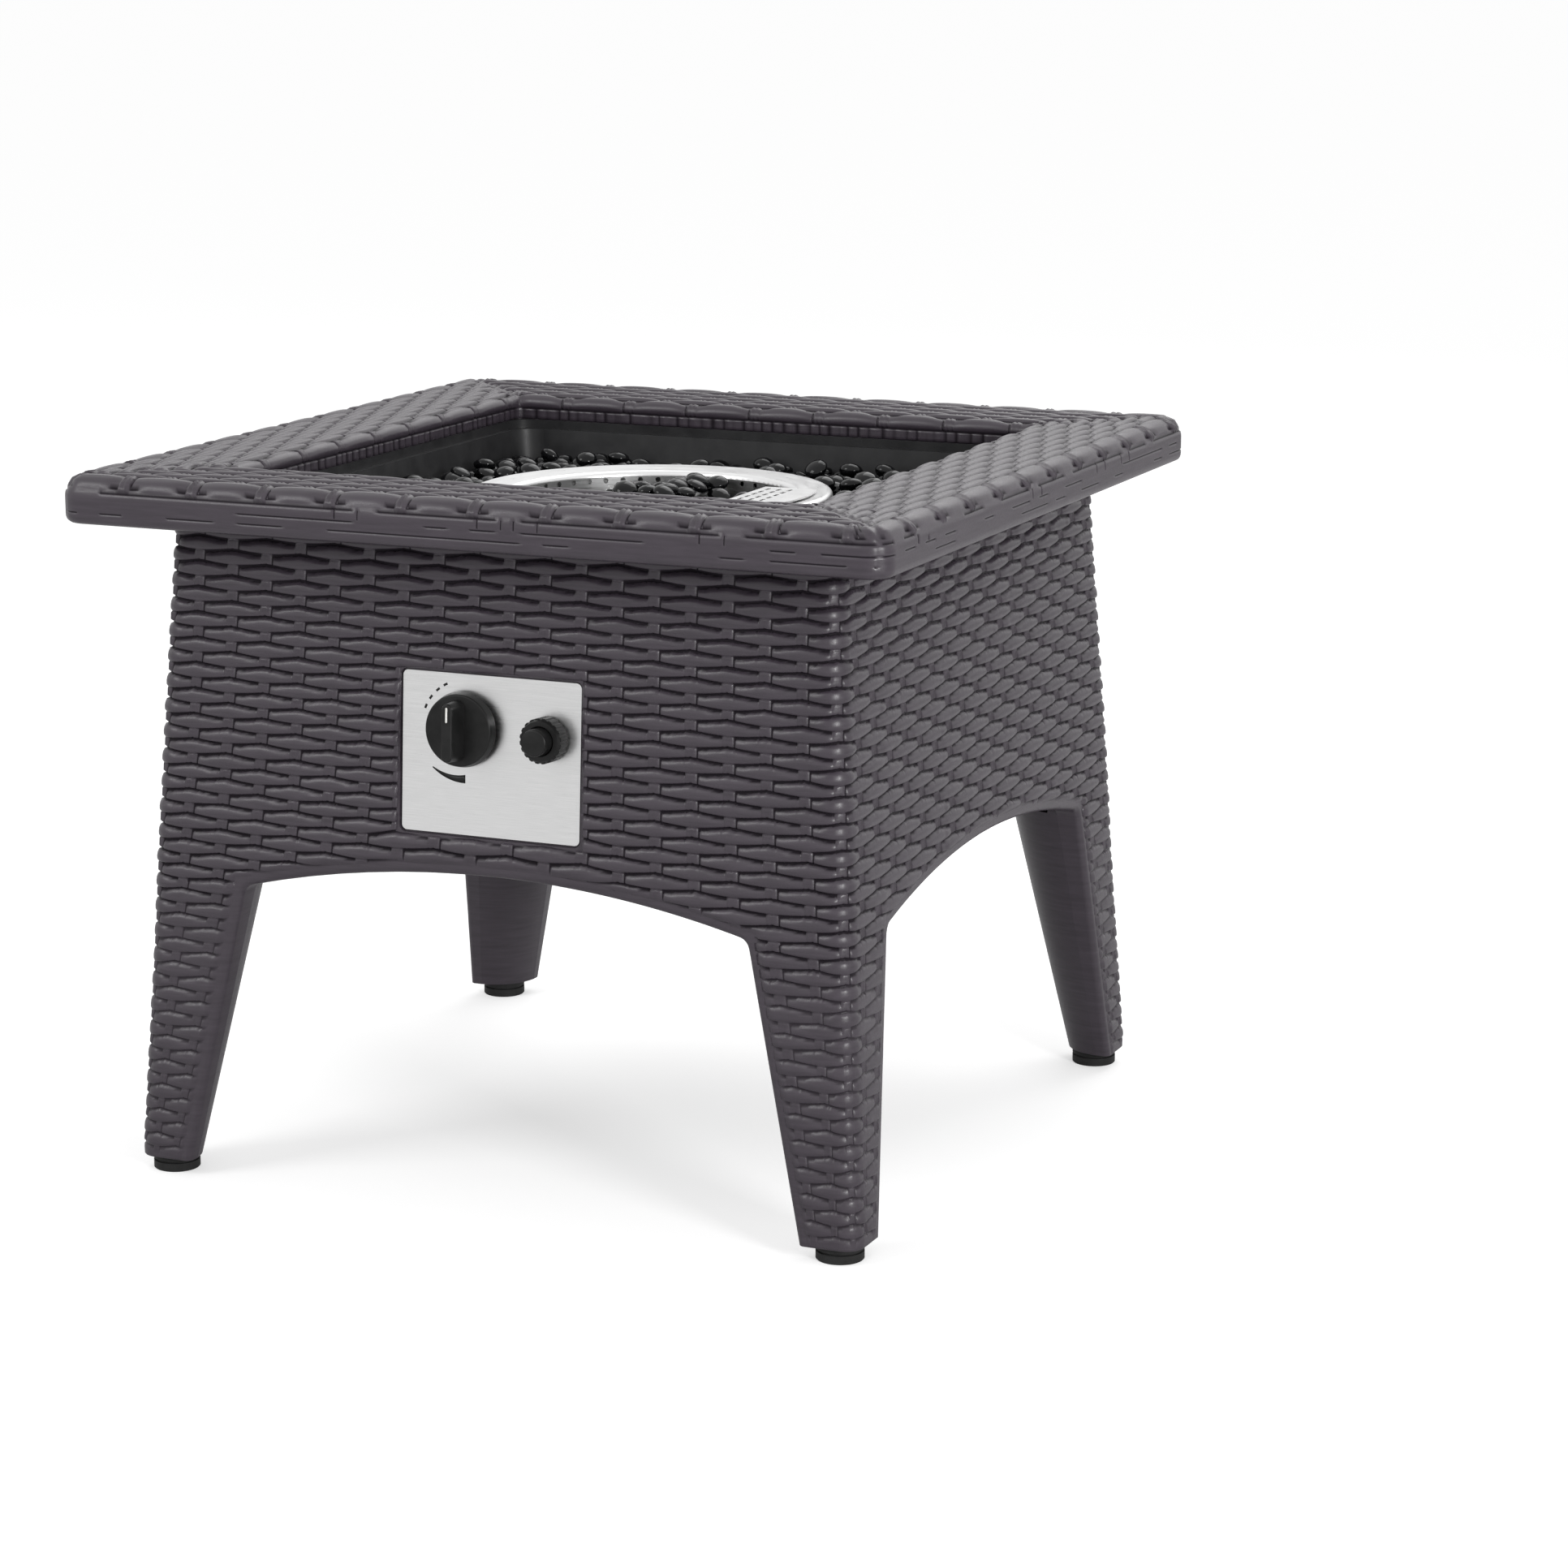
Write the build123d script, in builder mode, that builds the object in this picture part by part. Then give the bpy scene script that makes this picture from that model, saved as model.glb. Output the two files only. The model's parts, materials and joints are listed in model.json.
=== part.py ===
from build123d import *
import os
from math import asin, atan, cos, degrees, sin

# Square gas fire table. A moulded base with a woven face stands on four splayed
# legs and carries a moulded table top. A steel fire pan hangs in the opening of
# the top, with a ring burner set in glass beads. The control panel on the front
# face holds a push-and-turn gas knob and a push-button igniter.
# Millimetres, +Z up, origin on the floor under the middle of the table, and the
# control panel faces -Y.

# Table top: a frame with a turned-down rim and a lip round the opening
table_height = 530.0
top_overhang = 60.0
rim_depth = 33.0
rim_wall = 14.0
top_plate = 10.0
top_edge_radius = 14.0
rim_foot_radius = 6.0
top_corner_radius = 18.0
opening_inset = 34.0
opening_corner = 10.0
lip_width = 20.0
lip_depth = 18.0
lip_edge_radius = 7.0

# Base: four flared faces, an arch in each, and legs of an angle section
apron_width = 528.0
flare = 0.0607
base_wall = 10.0
base_corner_radius = 14.0
arch_top = 252.0
arch_end = 226.0
leg_top_width = 77.45
arch_corner = 10.0
leg_foot_width = 44.94
leg_limb = 23.0
limb_blend = 24.0
scoop_end = 78.0
scoop_corner = 20.0
edge_round = 5.0

# Levelling feet in threaded bushes
foot_height = 12.0
foot_diameter = 35.0
foot_inset = 21.0
foot_groove = 1.6
foot_lower_band = 6.5
foot_play = 0.3
stud_diameter = 8.0
stud_length = 24.0
bush_diameter = 14.0
bush_length = 28.0

# Fire pan of pressed sheet, hung by its flange under the lip
pan_sheet = 1.5
pan_depth = 67.0
pan_floor_inset = 14.0
pan_wall_inset = 6.0
pan_band_inset = 1.0
pan_band_depth = 7.0
pan_flange_reach = 17.0
pan_corner = 22.0
drain_diameter = 12.0
drain_spacing = 320.0

# Ring burner: two pressed channels, a feed pipe across it and a mixing tube below
ring_outer = 140.0
ring_inner = 112.0
ring_drop = 33.0
ring_dish = 2.5
ring_height = 26.0
ring_sheet = 1.2
ring_round = 4.0
ring_lap = 9.0
ports_per_half = 24
port_diameter = 4.0
port_drop = 9.0
port_clear = 8.0
pipe_diameter = 14.0
pipe_wall = 1.2
pipe_entry = 6.0
pipe_rise = 1.5
hub_diameter = 34.0
hub_height = 24.0
nipple_diameter = 22.0
nipple_bore = 19.0
nipple_below = 27.0
hub_nut_width = 32.0
hub_nut_height = 8.0
mixer_wall = 1.2
mixer_length = 56.0
mixer_lap = 16.0
air_window_width = 8.0
air_window_height = 14.0
air_windows = 4
burner_leg_width = 18.0
burner_leg_sheet = 2.0
burner_leg_tab = 18.0
burner_legs_count = 4

# Igniter electrode and flame sensor under a pierced shield
shield_near = 80.0
shield_width = 76.0
shield_far = 128.0
shield_sheet = 1.2
shield_gap = 0.2
shield_rise = 0.2
slot_length = 9.0
slot_width = 2.6
slot_rows = 5
slot_columns = 3
slot_pitch_x = 9.0
slot_pitch_y = 13.0
pilot_place = 95.0
pilot_spacing = 26.0
pilot_sheet = 1.5
pilot_height = 20.0
electrode_diameter = 7.0
electrode_tip = 2.0
sensor_diameter = 6.0
pilot_collar = 11.0
pilot_collar_height = 4.0
pilot_rise = 22.0
pilot_below = 12.0

# Glass beads fill the pan to this depth
bead_depth = 35.5
bead_gap = 0.3

# Control panel let into the front face
panel_width = 143.0
panel_height = 117.0
panel_corner = 4.0
panel_sheet = 1.5
panel_centre = 340.0
panel_recess = 3.0
panel_gap = 1.5
panel_seat = 8.0
backplate_seat = 12.0
backplate_sheet = 1.5
panel_stud_diameter = 4.0
panel_stud_margin = 14.5
panel_stud_length = 15.0
panel_nut_width = 7.0
panel_nut_height = 3.2

# Gas valve, its plug and stem, and the knob
knob_x = -21.0
knob_y = 19.0
knob_diameter = 55.0
knob_face_diameter = 52.0
knob_skirt = 7.0
knob_clear = 5.0
knob_wall = 2.5
grip_width = 11.0
grip_length = 45.0
grip_height = 17.5
grip_taper = 4.0
knob_edge = 1.5
stem_diameter = 8.0
stem_flat = 2.8
stem_in_knob = 17.0
stem_in_plug = 11.0
stem_collar = 13.0
stem_collar_height = 2.0
stem_hole = 16.0
running_fit = 0.05
push_travel = 4.0
valve_diameter = 28.0
valve_length = 40.0
valve_flange_length = 46.0
valve_flange_width = 20.0
valve_flange = 3.0
valve_screw_spacing = 34.0
plug_diameter = 18.0
plug_length = 24.0
plug_end_play = 0.5
bonnet = 8.0
inlet_boss_diameter = 18.0
inlet_boss_reach = 24.0
inlet_boss_back = 25.0
flare_thread = 15.88
flare_length = 14.0
flare_nose = 4.0
inlet_hex = 19.0
inlet_hex_height = 8.0
outlet_boss_diameter = 15.0
outlet_boss_length = 8.0

# Gas line from the valve to the jet
tube_diameter = 8.0
tube_bore = 6.0
tube_bend = 30.0
tube_run = 34.0
elbow_diameter = 15.0
elbow_reach = 20.0
elbow_drop = 9.0
jet_diameter = 8.0
jet_length = 14.0

# Push-button igniter with its cell
igniter_x = 46.0
igniter_y = 17.0
igniter_neck = 21.0
igniter_bore = 15.4
igniter_back = 56.0
igniter_end = 3.0
igniter_neck_front = 4.5
igniter_flange = 30.0
igniter_flange_sheet = 2.5
igniter_nut_width = 27.0
igniter_nut_height = 4.0
cap_diameter = 33.0
cap_length = 13.0
cap_front = 2.0
cap_flutes = 20
flute_diameter = 3.2
button_diameter = 19.7
button_flange = 20.9
button_flange_sheet = 2.0
button_proud = 10.0
button_play = 0.3
cell_diameter = 14.2
cell_length = 49.0
cell_nub = 5.5
cell_nub_height = 1.5
terminal_width = 6.3
terminal_sheet = 0.8
terminal_length = 8.0
terminal_spacing = 9.0

# Return springs
spring_wire = 0.9
stem_spring_diameter = 11.2
button_spring_diameter = 10.0
spring_turns = 4
spring_play = 0.3

# Clips that hold the base, the pan and the top together, and their screws
clip_sheet = 2.0
clip_width = 30.0
clip_drop = 40.0
clip_spacing = 250.0
clip_reach = 3.0
clip_screw_inset = 11.0
screw_diameter = 4.0
screw_head = 8.0
screw_head_height = 2.6
screw_bite = 8.0
nut_width = 7.0
nut_height = 3.2

# Heights and places worked out from the sizes above
rim_bottom = table_height - rim_depth
plate_bottom = table_height - top_plate
lip_bottom = table_height - lip_depth
flange_bottom = lip_bottom - pan_sheet
pan_step = lip_bottom - pan_band_depth
pan_floor = lip_bottom - pan_depth
floor_top = pan_floor + pan_sheet
ring_top = table_height - ring_drop
bead_level = floor_top + bead_depth
top_width = apron_width + 2 * top_overhang
opening_width = apron_width - 2 * opening_inset
pan_floor_width = opening_width - 2 * pan_floor_inset
pan_wall_width = opening_width - 2 * pan_wall_inset
pan_band_width = opening_width - 2 * pan_band_inset
pan_flange_width = opening_width + 2 * pan_flange_reach
leg_bottom = foot_height
wall_run = base_wall / cos(atan(flare))
limb_run = leg_limb / cos(atan(flare))
clip_run = clip_sheet / cos(atan(flare))
sides = (0, 90, 180, 270)


def half_width(height):
    """Half the base's width across its outer faces at a height."""
    return apron_width / 2 + flare * (rim_bottom - height)


def inner_face(height):
    """Y of the front wall's inner face at a height."""
    return wall_run - half_width(height)


arch_span = 2 * (half_width(arch_end) - leg_top_width)
leg_gap = 2 * (half_width(leg_bottom) - leg_foot_width)


def leg_edge(height):
    """Distance of a leg's inner edge from the middle of its face."""
    rise = (height - leg_bottom) / (arch_end - leg_bottom)
    return leg_gap / 2 + rise * (arch_span - leg_gap) / 2


# Front face frame: X across, Y up the face, Z out of it
panel_plane = Plane(
    origin=(0, -half_width(panel_centre), panel_centre),
    x_dir=(1, 0, 0),
    z_dir=(0, -cos(atan(flare)), sin(atan(flare))),
)


def face_frame(x, y):
    """The front face frame moved to a place on the face."""
    origin = panel_plane.from_local_coords(Vector(x, y, 0))
    return Plane(origin=origin, x_dir=panel_plane.x_dir, z_dir=panel_plane.z_dir)


knob_plane = face_frame(knob_x, knob_y)
igniter_plane = face_frame(igniter_x, igniter_y)
panel_front = panel_sheet - panel_recess
valve_front = -base_wall - backplate_sheet

# Clip stations: two on each side of the table
clip_places = [
    Location((0, 0, 0), (0, 0, side)) * Location((shift, 0, 0))
    for side in sides
    for shift in (-clip_spacing / 2, clip_spacing / 2)
]
clip_screw_line = opening_width / 2 + clip_screw_inset
clip_top = flange_bottom
clip_foot = clip_top - clip_drop
side_screw_height = clip_foot + clip_screw_inset
side_plane = Plane(
    origin=(0, inner_face(side_screw_height), side_screw_height),
    x_dir=(1, 0, 0),
    z_dir=panel_plane.z_dir,
)
foot_line = half_width(leg_bottom) - foot_inset


def headed_screw(plane, length):
    """A pan-head screw whose head stands on a plane and whose shank runs below it."""
    with BuildPart() as screw:
        with BuildSketch(plane):
            Circle(screw_head / 2)
        extrude(amount=screw_head_height)
        fillet(screw.edges().sort_by(Axis(plane.origin, tuple(plane.z_dir)))[-1:], screw_head_height / 2)
        with BuildSketch(plane):
            Circle(screw_diameter / 2)
        extrude(amount=-length)
    return screw.part


def hex_nut(plane, width, height, bore):
    """A hexagon nut that stands on a plane."""
    with BuildPart() as nut:
        with BuildSketch(plane):
            RegularPolygon(width / 2, 6, major_radius=False)
            Circle(bore / 2, mode=Mode.SUBTRACT)
        extrude(amount=height)
    return nut.part


def coil_spring(plane, length, diameter):
    """A wire coil that stands on a plane, clear of the faces at both ends."""
    rise = length - spring_wire - 2 * spring_play
    with BuildPart() as coil:
        with BuildLine() as path:
            Helix(rise / spring_turns, rise, diameter / 2)
        with BuildSketch(Plane(path.line @ 0, z_dir=path.line % 0)):
            Circle(spring_wire / 2)
        sweep(is_frenet=True)
    return plane.offset(spring_play + spring_wire / 2).location * coil.part


# Pilot holes for the clip screws, cut from the lip and from the base's wall
with BuildPart() as lip_pilot:
    with BuildSketch(Plane.XY.offset(lip_bottom)):
        with Locations((0, -clip_screw_line)):
            Circle(screw_diameter / 2)
    extrude(amount=screw_bite)

with BuildPart() as wall_pilot:
    with BuildSketch(side_plane):
        Circle(screw_diameter / 2)
    extrude(amount=screw_bite)

# Table top
channel_outer = top_width - 2 * rim_wall
channel_inner = opening_width + 2 * lip_width
with BuildPart() as table_top:
    with BuildSketch(Plane.XY.offset(rim_bottom)):
        RectangleRounded(top_width, top_width, top_corner_radius)
    extrude(amount=rim_depth)
    fillet(table_top.edges().group_by(Axis.Z)[-1], top_edge_radius)
    fillet(table_top.edges().group_by(Axis.Z)[0], rim_foot_radius)
    with BuildSketch(Plane.XY.offset(rim_bottom)):
        RectangleRounded(channel_outer, channel_outer, top_corner_radius - rim_wall / 2)
    extrude(amount=lip_bottom - rim_bottom, mode=Mode.SUBTRACT)
    with BuildSketch(Plane.XY.offset(lip_bottom)):
        RectangleRounded(channel_outer, channel_outer, top_corner_radius - rim_wall / 2)
        RectangleRounded(channel_inner, channel_inner, opening_corner, mode=Mode.SUBTRACT)
    extrude(amount=plate_bottom - lip_bottom, mode=Mode.SUBTRACT)
    with BuildSketch(Plane.XY.offset(lip_bottom)):
        RectangleRounded(opening_width, opening_width, opening_corner)
    extrude(amount=lip_depth, mode=Mode.SUBTRACT)
    lip_edges = table_top.edges().filter_by(
        lambda edge: edge.center().Z > table_height - 0.01
        and max(abs(edge.center().X), abs(edge.center().Y)) < channel_inner / 2
    )
    fillet(lip_edges, lip_edge_radius)
    with Locations(*clip_places):
        add(lip_pilot.part, mode=Mode.SUBTRACT)
table_top.part.label = "table_top"
export_step(table_top.part, "parts/table_top.step")

# Base
limb_top = arch_top - edge_round
blend_top = limb_top + limb_blend
with BuildPart() as base:
    for height in (leg_bottom, plate_bottom):
        with BuildSketch(Plane.XY.offset(height)):
            RectangleRounded(2 * half_width(height), 2 * half_width(height), base_corner_radius)
    loft()
    scoop_width = 2 * leg_edge(scoop_end)
    limb_width = 2 * (half_width(limb_top) - limb_run)
    blend_width = 2 * (half_width(blend_top) - wall_run)
    crown_width = 2 * (half_width(plate_bottom) - wall_run)
    hollow = (
        (scoop_end, scoop_width, limb_top, limb_width, scoop_corner),
        (limb_top, limb_width, blend_top, blend_width, scoop_corner),
        (blend_top, blend_width, plate_bottom, crown_width, base_corner_radius - base_wall / 2),
    )
    for low, low_width, high, high_width, corner in hollow:
        with BuildSketch(Plane.XY.offset(low)):
            RectangleRounded(low_width, low_width, corner)
        with BuildSketch(Plane.XY.offset(high)):
            RectangleRounded(high_width, high_width, corner)
        loft(mode=Mode.SUBTRACT)
    for plane in (Plane.XZ, Plane.YZ):
        with BuildSketch(plane) as arch:
            with BuildLine():
                Polyline(
                    (arch_span / 2, arch_end),
                    (leg_edge(0), 0),
                    (-leg_edge(0), 0),
                    (-arch_span / 2, arch_end),
                )
                ThreePointArc((-arch_span / 2, arch_end), (0, arch_top), (arch_span / 2, arch_end))
            make_face()
            fillet(arch.vertices().group_by(Axis.Y)[-1], arch_corner)
        extrude(amount=top_width, both=True, mode=Mode.SUBTRACT)
    arch_edges = base.edges().filter_by(
        lambda edge: leg_bottom + 1 < edge.center().Z < arch_top + 1
        and abs(max(abs((edge @ 0.5).X), abs((edge @ 0.5).Y)) - half_width((edge @ 0.5).Z)) < 0.05
        and min(abs((edge @ 0.5).X), abs((edge @ 0.5).Y)) < half_width(leg_bottom) - leg_limb
    )
    fillet(arch_edges, edge_round)
    with BuildSketch(panel_plane):
        RectangleRounded(panel_width + 2 * panel_gap, panel_height + 2 * panel_gap, panel_corner + panel_gap)
    extrude(amount=-panel_recess, mode=Mode.SUBTRACT)
    with BuildSketch(panel_plane):
        RectangleRounded(panel_width - 2 * panel_seat, panel_height - 2 * panel_seat, panel_corner)
    extrude(amount=-base_wall - panel_recess, mode=Mode.SUBTRACT)
    with BuildSketch(Plane.XY.offset(leg_bottom)):
        with GridLocations(2 * foot_line, 2 * foot_line, 2, 2):
            Circle(bush_diameter / 2)
    extrude(amount=bush_length, mode=Mode.SUBTRACT)
    with Locations(*clip_places):
        add(wall_pilot.part, mode=Mode.SUBTRACT)
base.part.label = "base"
export_step(base.part, "parts/base.step")

# Threaded bushes in the legs
with BuildPart() as leg_bushes:
    with BuildSketch(Plane.XY.offset(leg_bottom)):
        with GridLocations(2 * foot_line, 2 * foot_line, 2, 2):
            Circle(bush_diameter / 2)
            Circle(stud_diameter / 2 + running_fit, mode=Mode.SUBTRACT)
    extrude(amount=bush_length)
leg_bushes.part.label = "leg_bushes"
export_step(leg_bushes.part, "parts/leg_bushes.step")

# Levelling feet, screwed right in
foot_places = {
    "foot_front_left": (-foot_line, -foot_line),
    "foot_front_right": (foot_line, -foot_line),
    "foot_back_left": (-foot_line, foot_line),
    "foot_back_right": (foot_line, foot_line),
}
foot_top = leg_bottom - foot_play
for foot_name, foot_place in foot_places.items():
    with BuildPart() as foot:
        with Locations(foot_place):
            Cylinder(foot_diameter / 2, foot_top, align=(Align.CENTER, Align.CENTER, Align.MIN))
            with Locations((0, 0, foot_top)):
                Cylinder(
                    stud_diameter / 2,
                    stud_length,
                    align=(Align.CENTER, Align.CENTER, Align.MIN),
                )
        with BuildSketch(Plane.XY.offset(foot_lower_band)):
            with Locations(foot_place):
                Circle(foot_diameter / 2)
                Circle(foot_diameter / 2 - foot_groove, mode=Mode.SUBTRACT)
        extrude(amount=foot_groove, mode=Mode.SUBTRACT)
        chamfer(foot.edges().group_by(Axis.Z)[0], foot_groove / 2)
    foot.part.label = foot_name
    export_step(foot.part, f"parts/{foot_name}.step")

# Fire pan
pilot_places = ((pilot_place, -pilot_spacing / 2), (pilot_place, pilot_spacing / 2))
leg_radius = (ring_outer + ring_inner) / 2
leg_screw_radius = leg_radius + burner_leg_tab / 2
burner_leg_turn = 360 / burner_legs_count
with BuildPart() as burner_pan:
    with BuildSketch(Plane.XY.offset(pan_floor)):
        RectangleRounded(pan_floor_width + 2 * pan_sheet, pan_floor_width + 2 * pan_sheet, pan_corner)
    with BuildSketch(Plane.XY.offset(pan_step)):
        RectangleRounded(pan_wall_width + 2 * pan_sheet, pan_wall_width + 2 * pan_sheet, pan_corner)
    loft()
    with BuildSketch(Plane.XY.offset(pan_step - pan_sheet)):
        RectangleRounded(pan_band_width + 2 * pan_sheet, pan_band_width + 2 * pan_sheet, pan_corner)
    extrude(amount=lip_bottom - pan_step + pan_sheet)
    with BuildSketch(Plane.XY.offset(flange_bottom)):
        RectangleRounded(pan_flange_width, pan_flange_width, pan_corner)
    extrude(amount=pan_sheet)
    with BuildSketch(Plane.XY.offset(floor_top)):
        RectangleRounded(pan_floor_width, pan_floor_width, pan_corner - pan_sheet)
    with BuildSketch(Plane.XY.offset(pan_step)):
        RectangleRounded(pan_wall_width, pan_wall_width, pan_corner - pan_sheet)
    loft(mode=Mode.SUBTRACT)
    with BuildSketch(Plane.XY.offset(pan_step)):
        RectangleRounded(pan_band_width, pan_band_width, pan_corner - pan_sheet)
    extrude(amount=pan_band_depth, mode=Mode.SUBTRACT)
    with BuildSketch(Plane.XY.offset(pan_floor)):
        Circle(nipple_diameter / 2)
        with GridLocations(drain_spacing, drain_spacing, 2, 2):
            Circle(drain_diameter / 2)
        with Locations(*pilot_places):
            Circle(electrode_diameter / 2)
        with PolarLocations(leg_screw_radius, burner_legs_count, burner_leg_turn / 2):
            Circle(screw_diameter / 2)
    extrude(amount=pan_sheet, mode=Mode.SUBTRACT)
    with BuildSketch(Plane.XY.offset(flange_bottom)):
        with Locations(*clip_places):
            with Locations((0, -clip_screw_line)):
                Circle(screw_diameter / 2)
    extrude(amount=pan_sheet, mode=Mode.SUBTRACT)
burner_pan.part.label = "burner_pan"
export_step(burner_pan.part, "parts/burner_pan.step")

# Ring burner: upper channel with the gas ports in its inner wall
ring_bottom = ring_top - ring_height
ring_seam = ring_bottom + ring_lap
port_height = ring_top - port_drop
first_port = degrees(asin((pipe_diameter / 2 + port_clear) / ring_inner)) - 90
pipe_height = ring_bottom + ring_sheet + pipe_rise + pipe_diameter / 2
with BuildPart() as burner_ring_upper:
    with BuildSketch(Plane.XZ) as crown_section:
        with BuildLine():
            Polyline(
                (ring_inner, ring_bottom + ring_sheet),
                (ring_inner, ring_top - ring_dish),
                (ring_outer, ring_top),
                (ring_outer, ring_bottom + ring_sheet),
                close=True,
            )
        make_face()
        fillet(crown_section.vertices().group_by(Axis.Y)[1:], ring_round)
    revolve(axis=Axis.Z)
    with BuildSketch(Plane.XZ) as channel_section:
        with BuildLine():
            Polyline(
                (ring_inner + ring_sheet, ring_bottom),
                (ring_inner + ring_sheet, ring_top - ring_dish - ring_sheet),
                (ring_outer - ring_sheet, ring_top - ring_sheet),
                (ring_outer - ring_sheet, ring_bottom),
                close=True,
            )
        make_face()
        fillet(channel_section.vertices().group_by(Axis.Y)[1:], ring_round - ring_sheet)
    revolve(axis=Axis.Z, mode=Mode.SUBTRACT)
    for half in sides[::2]:
        with Locations((0, 0, port_height)):
            with PolarLocations(
                ring_inner, ports_per_half, half + first_port, -2 * first_port, endpoint=True
            ):
                Cylinder(port_diameter / 2, 4 * ring_sheet, rotation=(0, 90, 0), mode=Mode.SUBTRACT)
    with BuildSketch(Plane.XZ):
        with Locations((0, pipe_height)):
            Circle(pipe_diameter / 2)
    extrude(amount=ring_inner + pipe_entry, both=True, mode=Mode.SUBTRACT)
burner_ring_upper.part.label = "burner_ring_upper"
export_step(burner_ring_upper.part, "parts/burner_ring_upper.step")

# Lower channel, nested in the upper one
with BuildPart() as burner_ring_lower:
    with BuildSketch(Plane.XZ) as lower_section:
        with BuildLine():
            Polyline(
                (ring_inner + ring_sheet, ring_seam),
                (ring_inner + ring_sheet, ring_bottom),
                (ring_outer - ring_sheet, ring_bottom),
                (ring_outer - ring_sheet, ring_seam + ring_lap),
                (ring_outer - 2 * ring_sheet, ring_seam + ring_lap),
                (ring_outer - 2 * ring_sheet, ring_bottom + ring_sheet),
                (ring_inner + 2 * ring_sheet, ring_bottom + ring_sheet),
                (ring_inner + 2 * ring_sheet, ring_seam),
                close=True,
            )
        make_face()
        fillet(lower_section.vertices().group_by(Axis.Y)[0], ring_sheet)
    revolve(axis=Axis.Z)
    with BuildSketch(Plane.XZ):
        with Locations((0, pipe_height)):
            Circle(pipe_diameter / 2)
    extrude(amount=ring_inner + pipe_entry, both=True, mode=Mode.SUBTRACT)
burner_ring_lower.part.label = "burner_ring_lower"
export_step(burner_ring_lower.part, "parts/burner_ring_lower.step")

# Feed pipe across the ring, with a hub and a nipple through the pan floor
hub_bottom = pipe_height - hub_height / 2
nipple_bottom = pan_floor - nipple_below
pipe_length = 2 * (ring_inner + pipe_entry)
with BuildPart() as burner_manifold:
    with BuildSketch(Plane.XZ):
        with Locations((0, pipe_height)):
            Circle(pipe_diameter / 2)
    extrude(amount=pipe_length / 2, both=True)
    with BuildSketch(Plane.XY.offset(hub_bottom)):
        Circle(hub_diameter / 2)
    extrude(amount=hub_height)
    with BuildSketch(Plane.XY.offset(nipple_bottom)):
        Circle(nipple_diameter / 2)
    extrude(amount=hub_bottom - nipple_bottom)
    with BuildSketch(Plane.XZ):
        with Locations((0, pipe_height)):
            Circle(pipe_diameter / 2 - pipe_wall)
    extrude(amount=pipe_length / 2, both=True, mode=Mode.SUBTRACT)
    with BuildSketch(Plane.XY.offset(nipple_bottom)):
        Circle(nipple_bore / 2)
    extrude(amount=pipe_height - nipple_bottom, mode=Mode.SUBTRACT)
burner_manifold.part.label = "burner_manifold"
export_step(burner_manifold.part, "parts/burner_manifold.step")

# Nut that draws the hub down on the pan
with BuildPart() as hub_nut:
    add(hex_nut(Plane.XY.offset(pan_floor - hub_nut_height), hub_nut_width, hub_nut_height, nipple_diameter))
hub_nut.part.label = "hub_nut"
export_step(hub_nut.part, "parts/hub_nut.step")

# Mixing tube on the nipple, with air windows
mixer_top = nipple_bottom + mixer_lap
mixer_bottom = mixer_top - mixer_length
window_height = mixer_bottom + jet_length + air_window_height / 2
with BuildPart() as mixing_tube:
    with BuildSketch(Plane.XY.offset(mixer_bottom)):
        Circle(nipple_diameter / 2 + mixer_wall)
        Circle(nipple_diameter / 2, mode=Mode.SUBTRACT)
    extrude(amount=mixer_length)
    with Locations((0, 0, window_height)):
        with PolarLocations(nipple_diameter / 2, air_windows, 180 / air_windows):
            Box(nipple_diameter / 2, air_window_width, air_window_height, mode=Mode.SUBTRACT)
mixing_tube.part.label = "mixing_tube"
export_step(mixing_tube.part, "parts/mixing_tube.step")

# Elbow in the foot of the mixing tube, and the jet on top of it
plug_height = elbow_drop / 2
elbow_height = mixer_bottom - elbow_drop
with BuildPart() as jet_elbow:
    with BuildSketch(Plane.XY.offset(mixer_bottom)):
        Circle(nipple_diameter / 2)
    extrude(amount=plug_height)
    with BuildSketch(Plane.XY.offset(elbow_height)):
        Circle(elbow_diameter / 2)
    extrude(amount=elbow_drop)
    with Locations((0, 0, elbow_height)):
        Sphere(elbow_diameter / 2)
    with BuildSketch(Plane.XZ):
        with Locations((0, elbow_height)):
            Circle(elbow_diameter / 2)
    extrude(amount=elbow_reach)
    with BuildSketch(Plane.XZ.offset(elbow_reach)):
        with Locations((0, elbow_height)):
            Circle(tube_diameter / 2)
    extrude(amount=-elbow_reach / 2, mode=Mode.SUBTRACT)
jet_elbow.part.label = "jet_elbow"
export_step(jet_elbow.part, "parts/jet_elbow.step")

jet_hex_height = jet_length / 2
with BuildPart() as gas_jet:
    with BuildSketch(Plane.XY.offset(mixer_bottom + plug_height)):
        RegularPolygon(jet_diameter / 2, 6)
    extrude(amount=jet_hex_height)
    with BuildSketch(Plane.XY.offset(mixer_bottom + plug_height + jet_hex_height)):
        Circle(jet_diameter / 3)
    extrude(amount=jet_length - plug_height - jet_hex_height, taper=10)
gas_jet.part.label = "gas_jet"
export_step(gas_jet.part, "parts/gas_jet.step")

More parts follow.
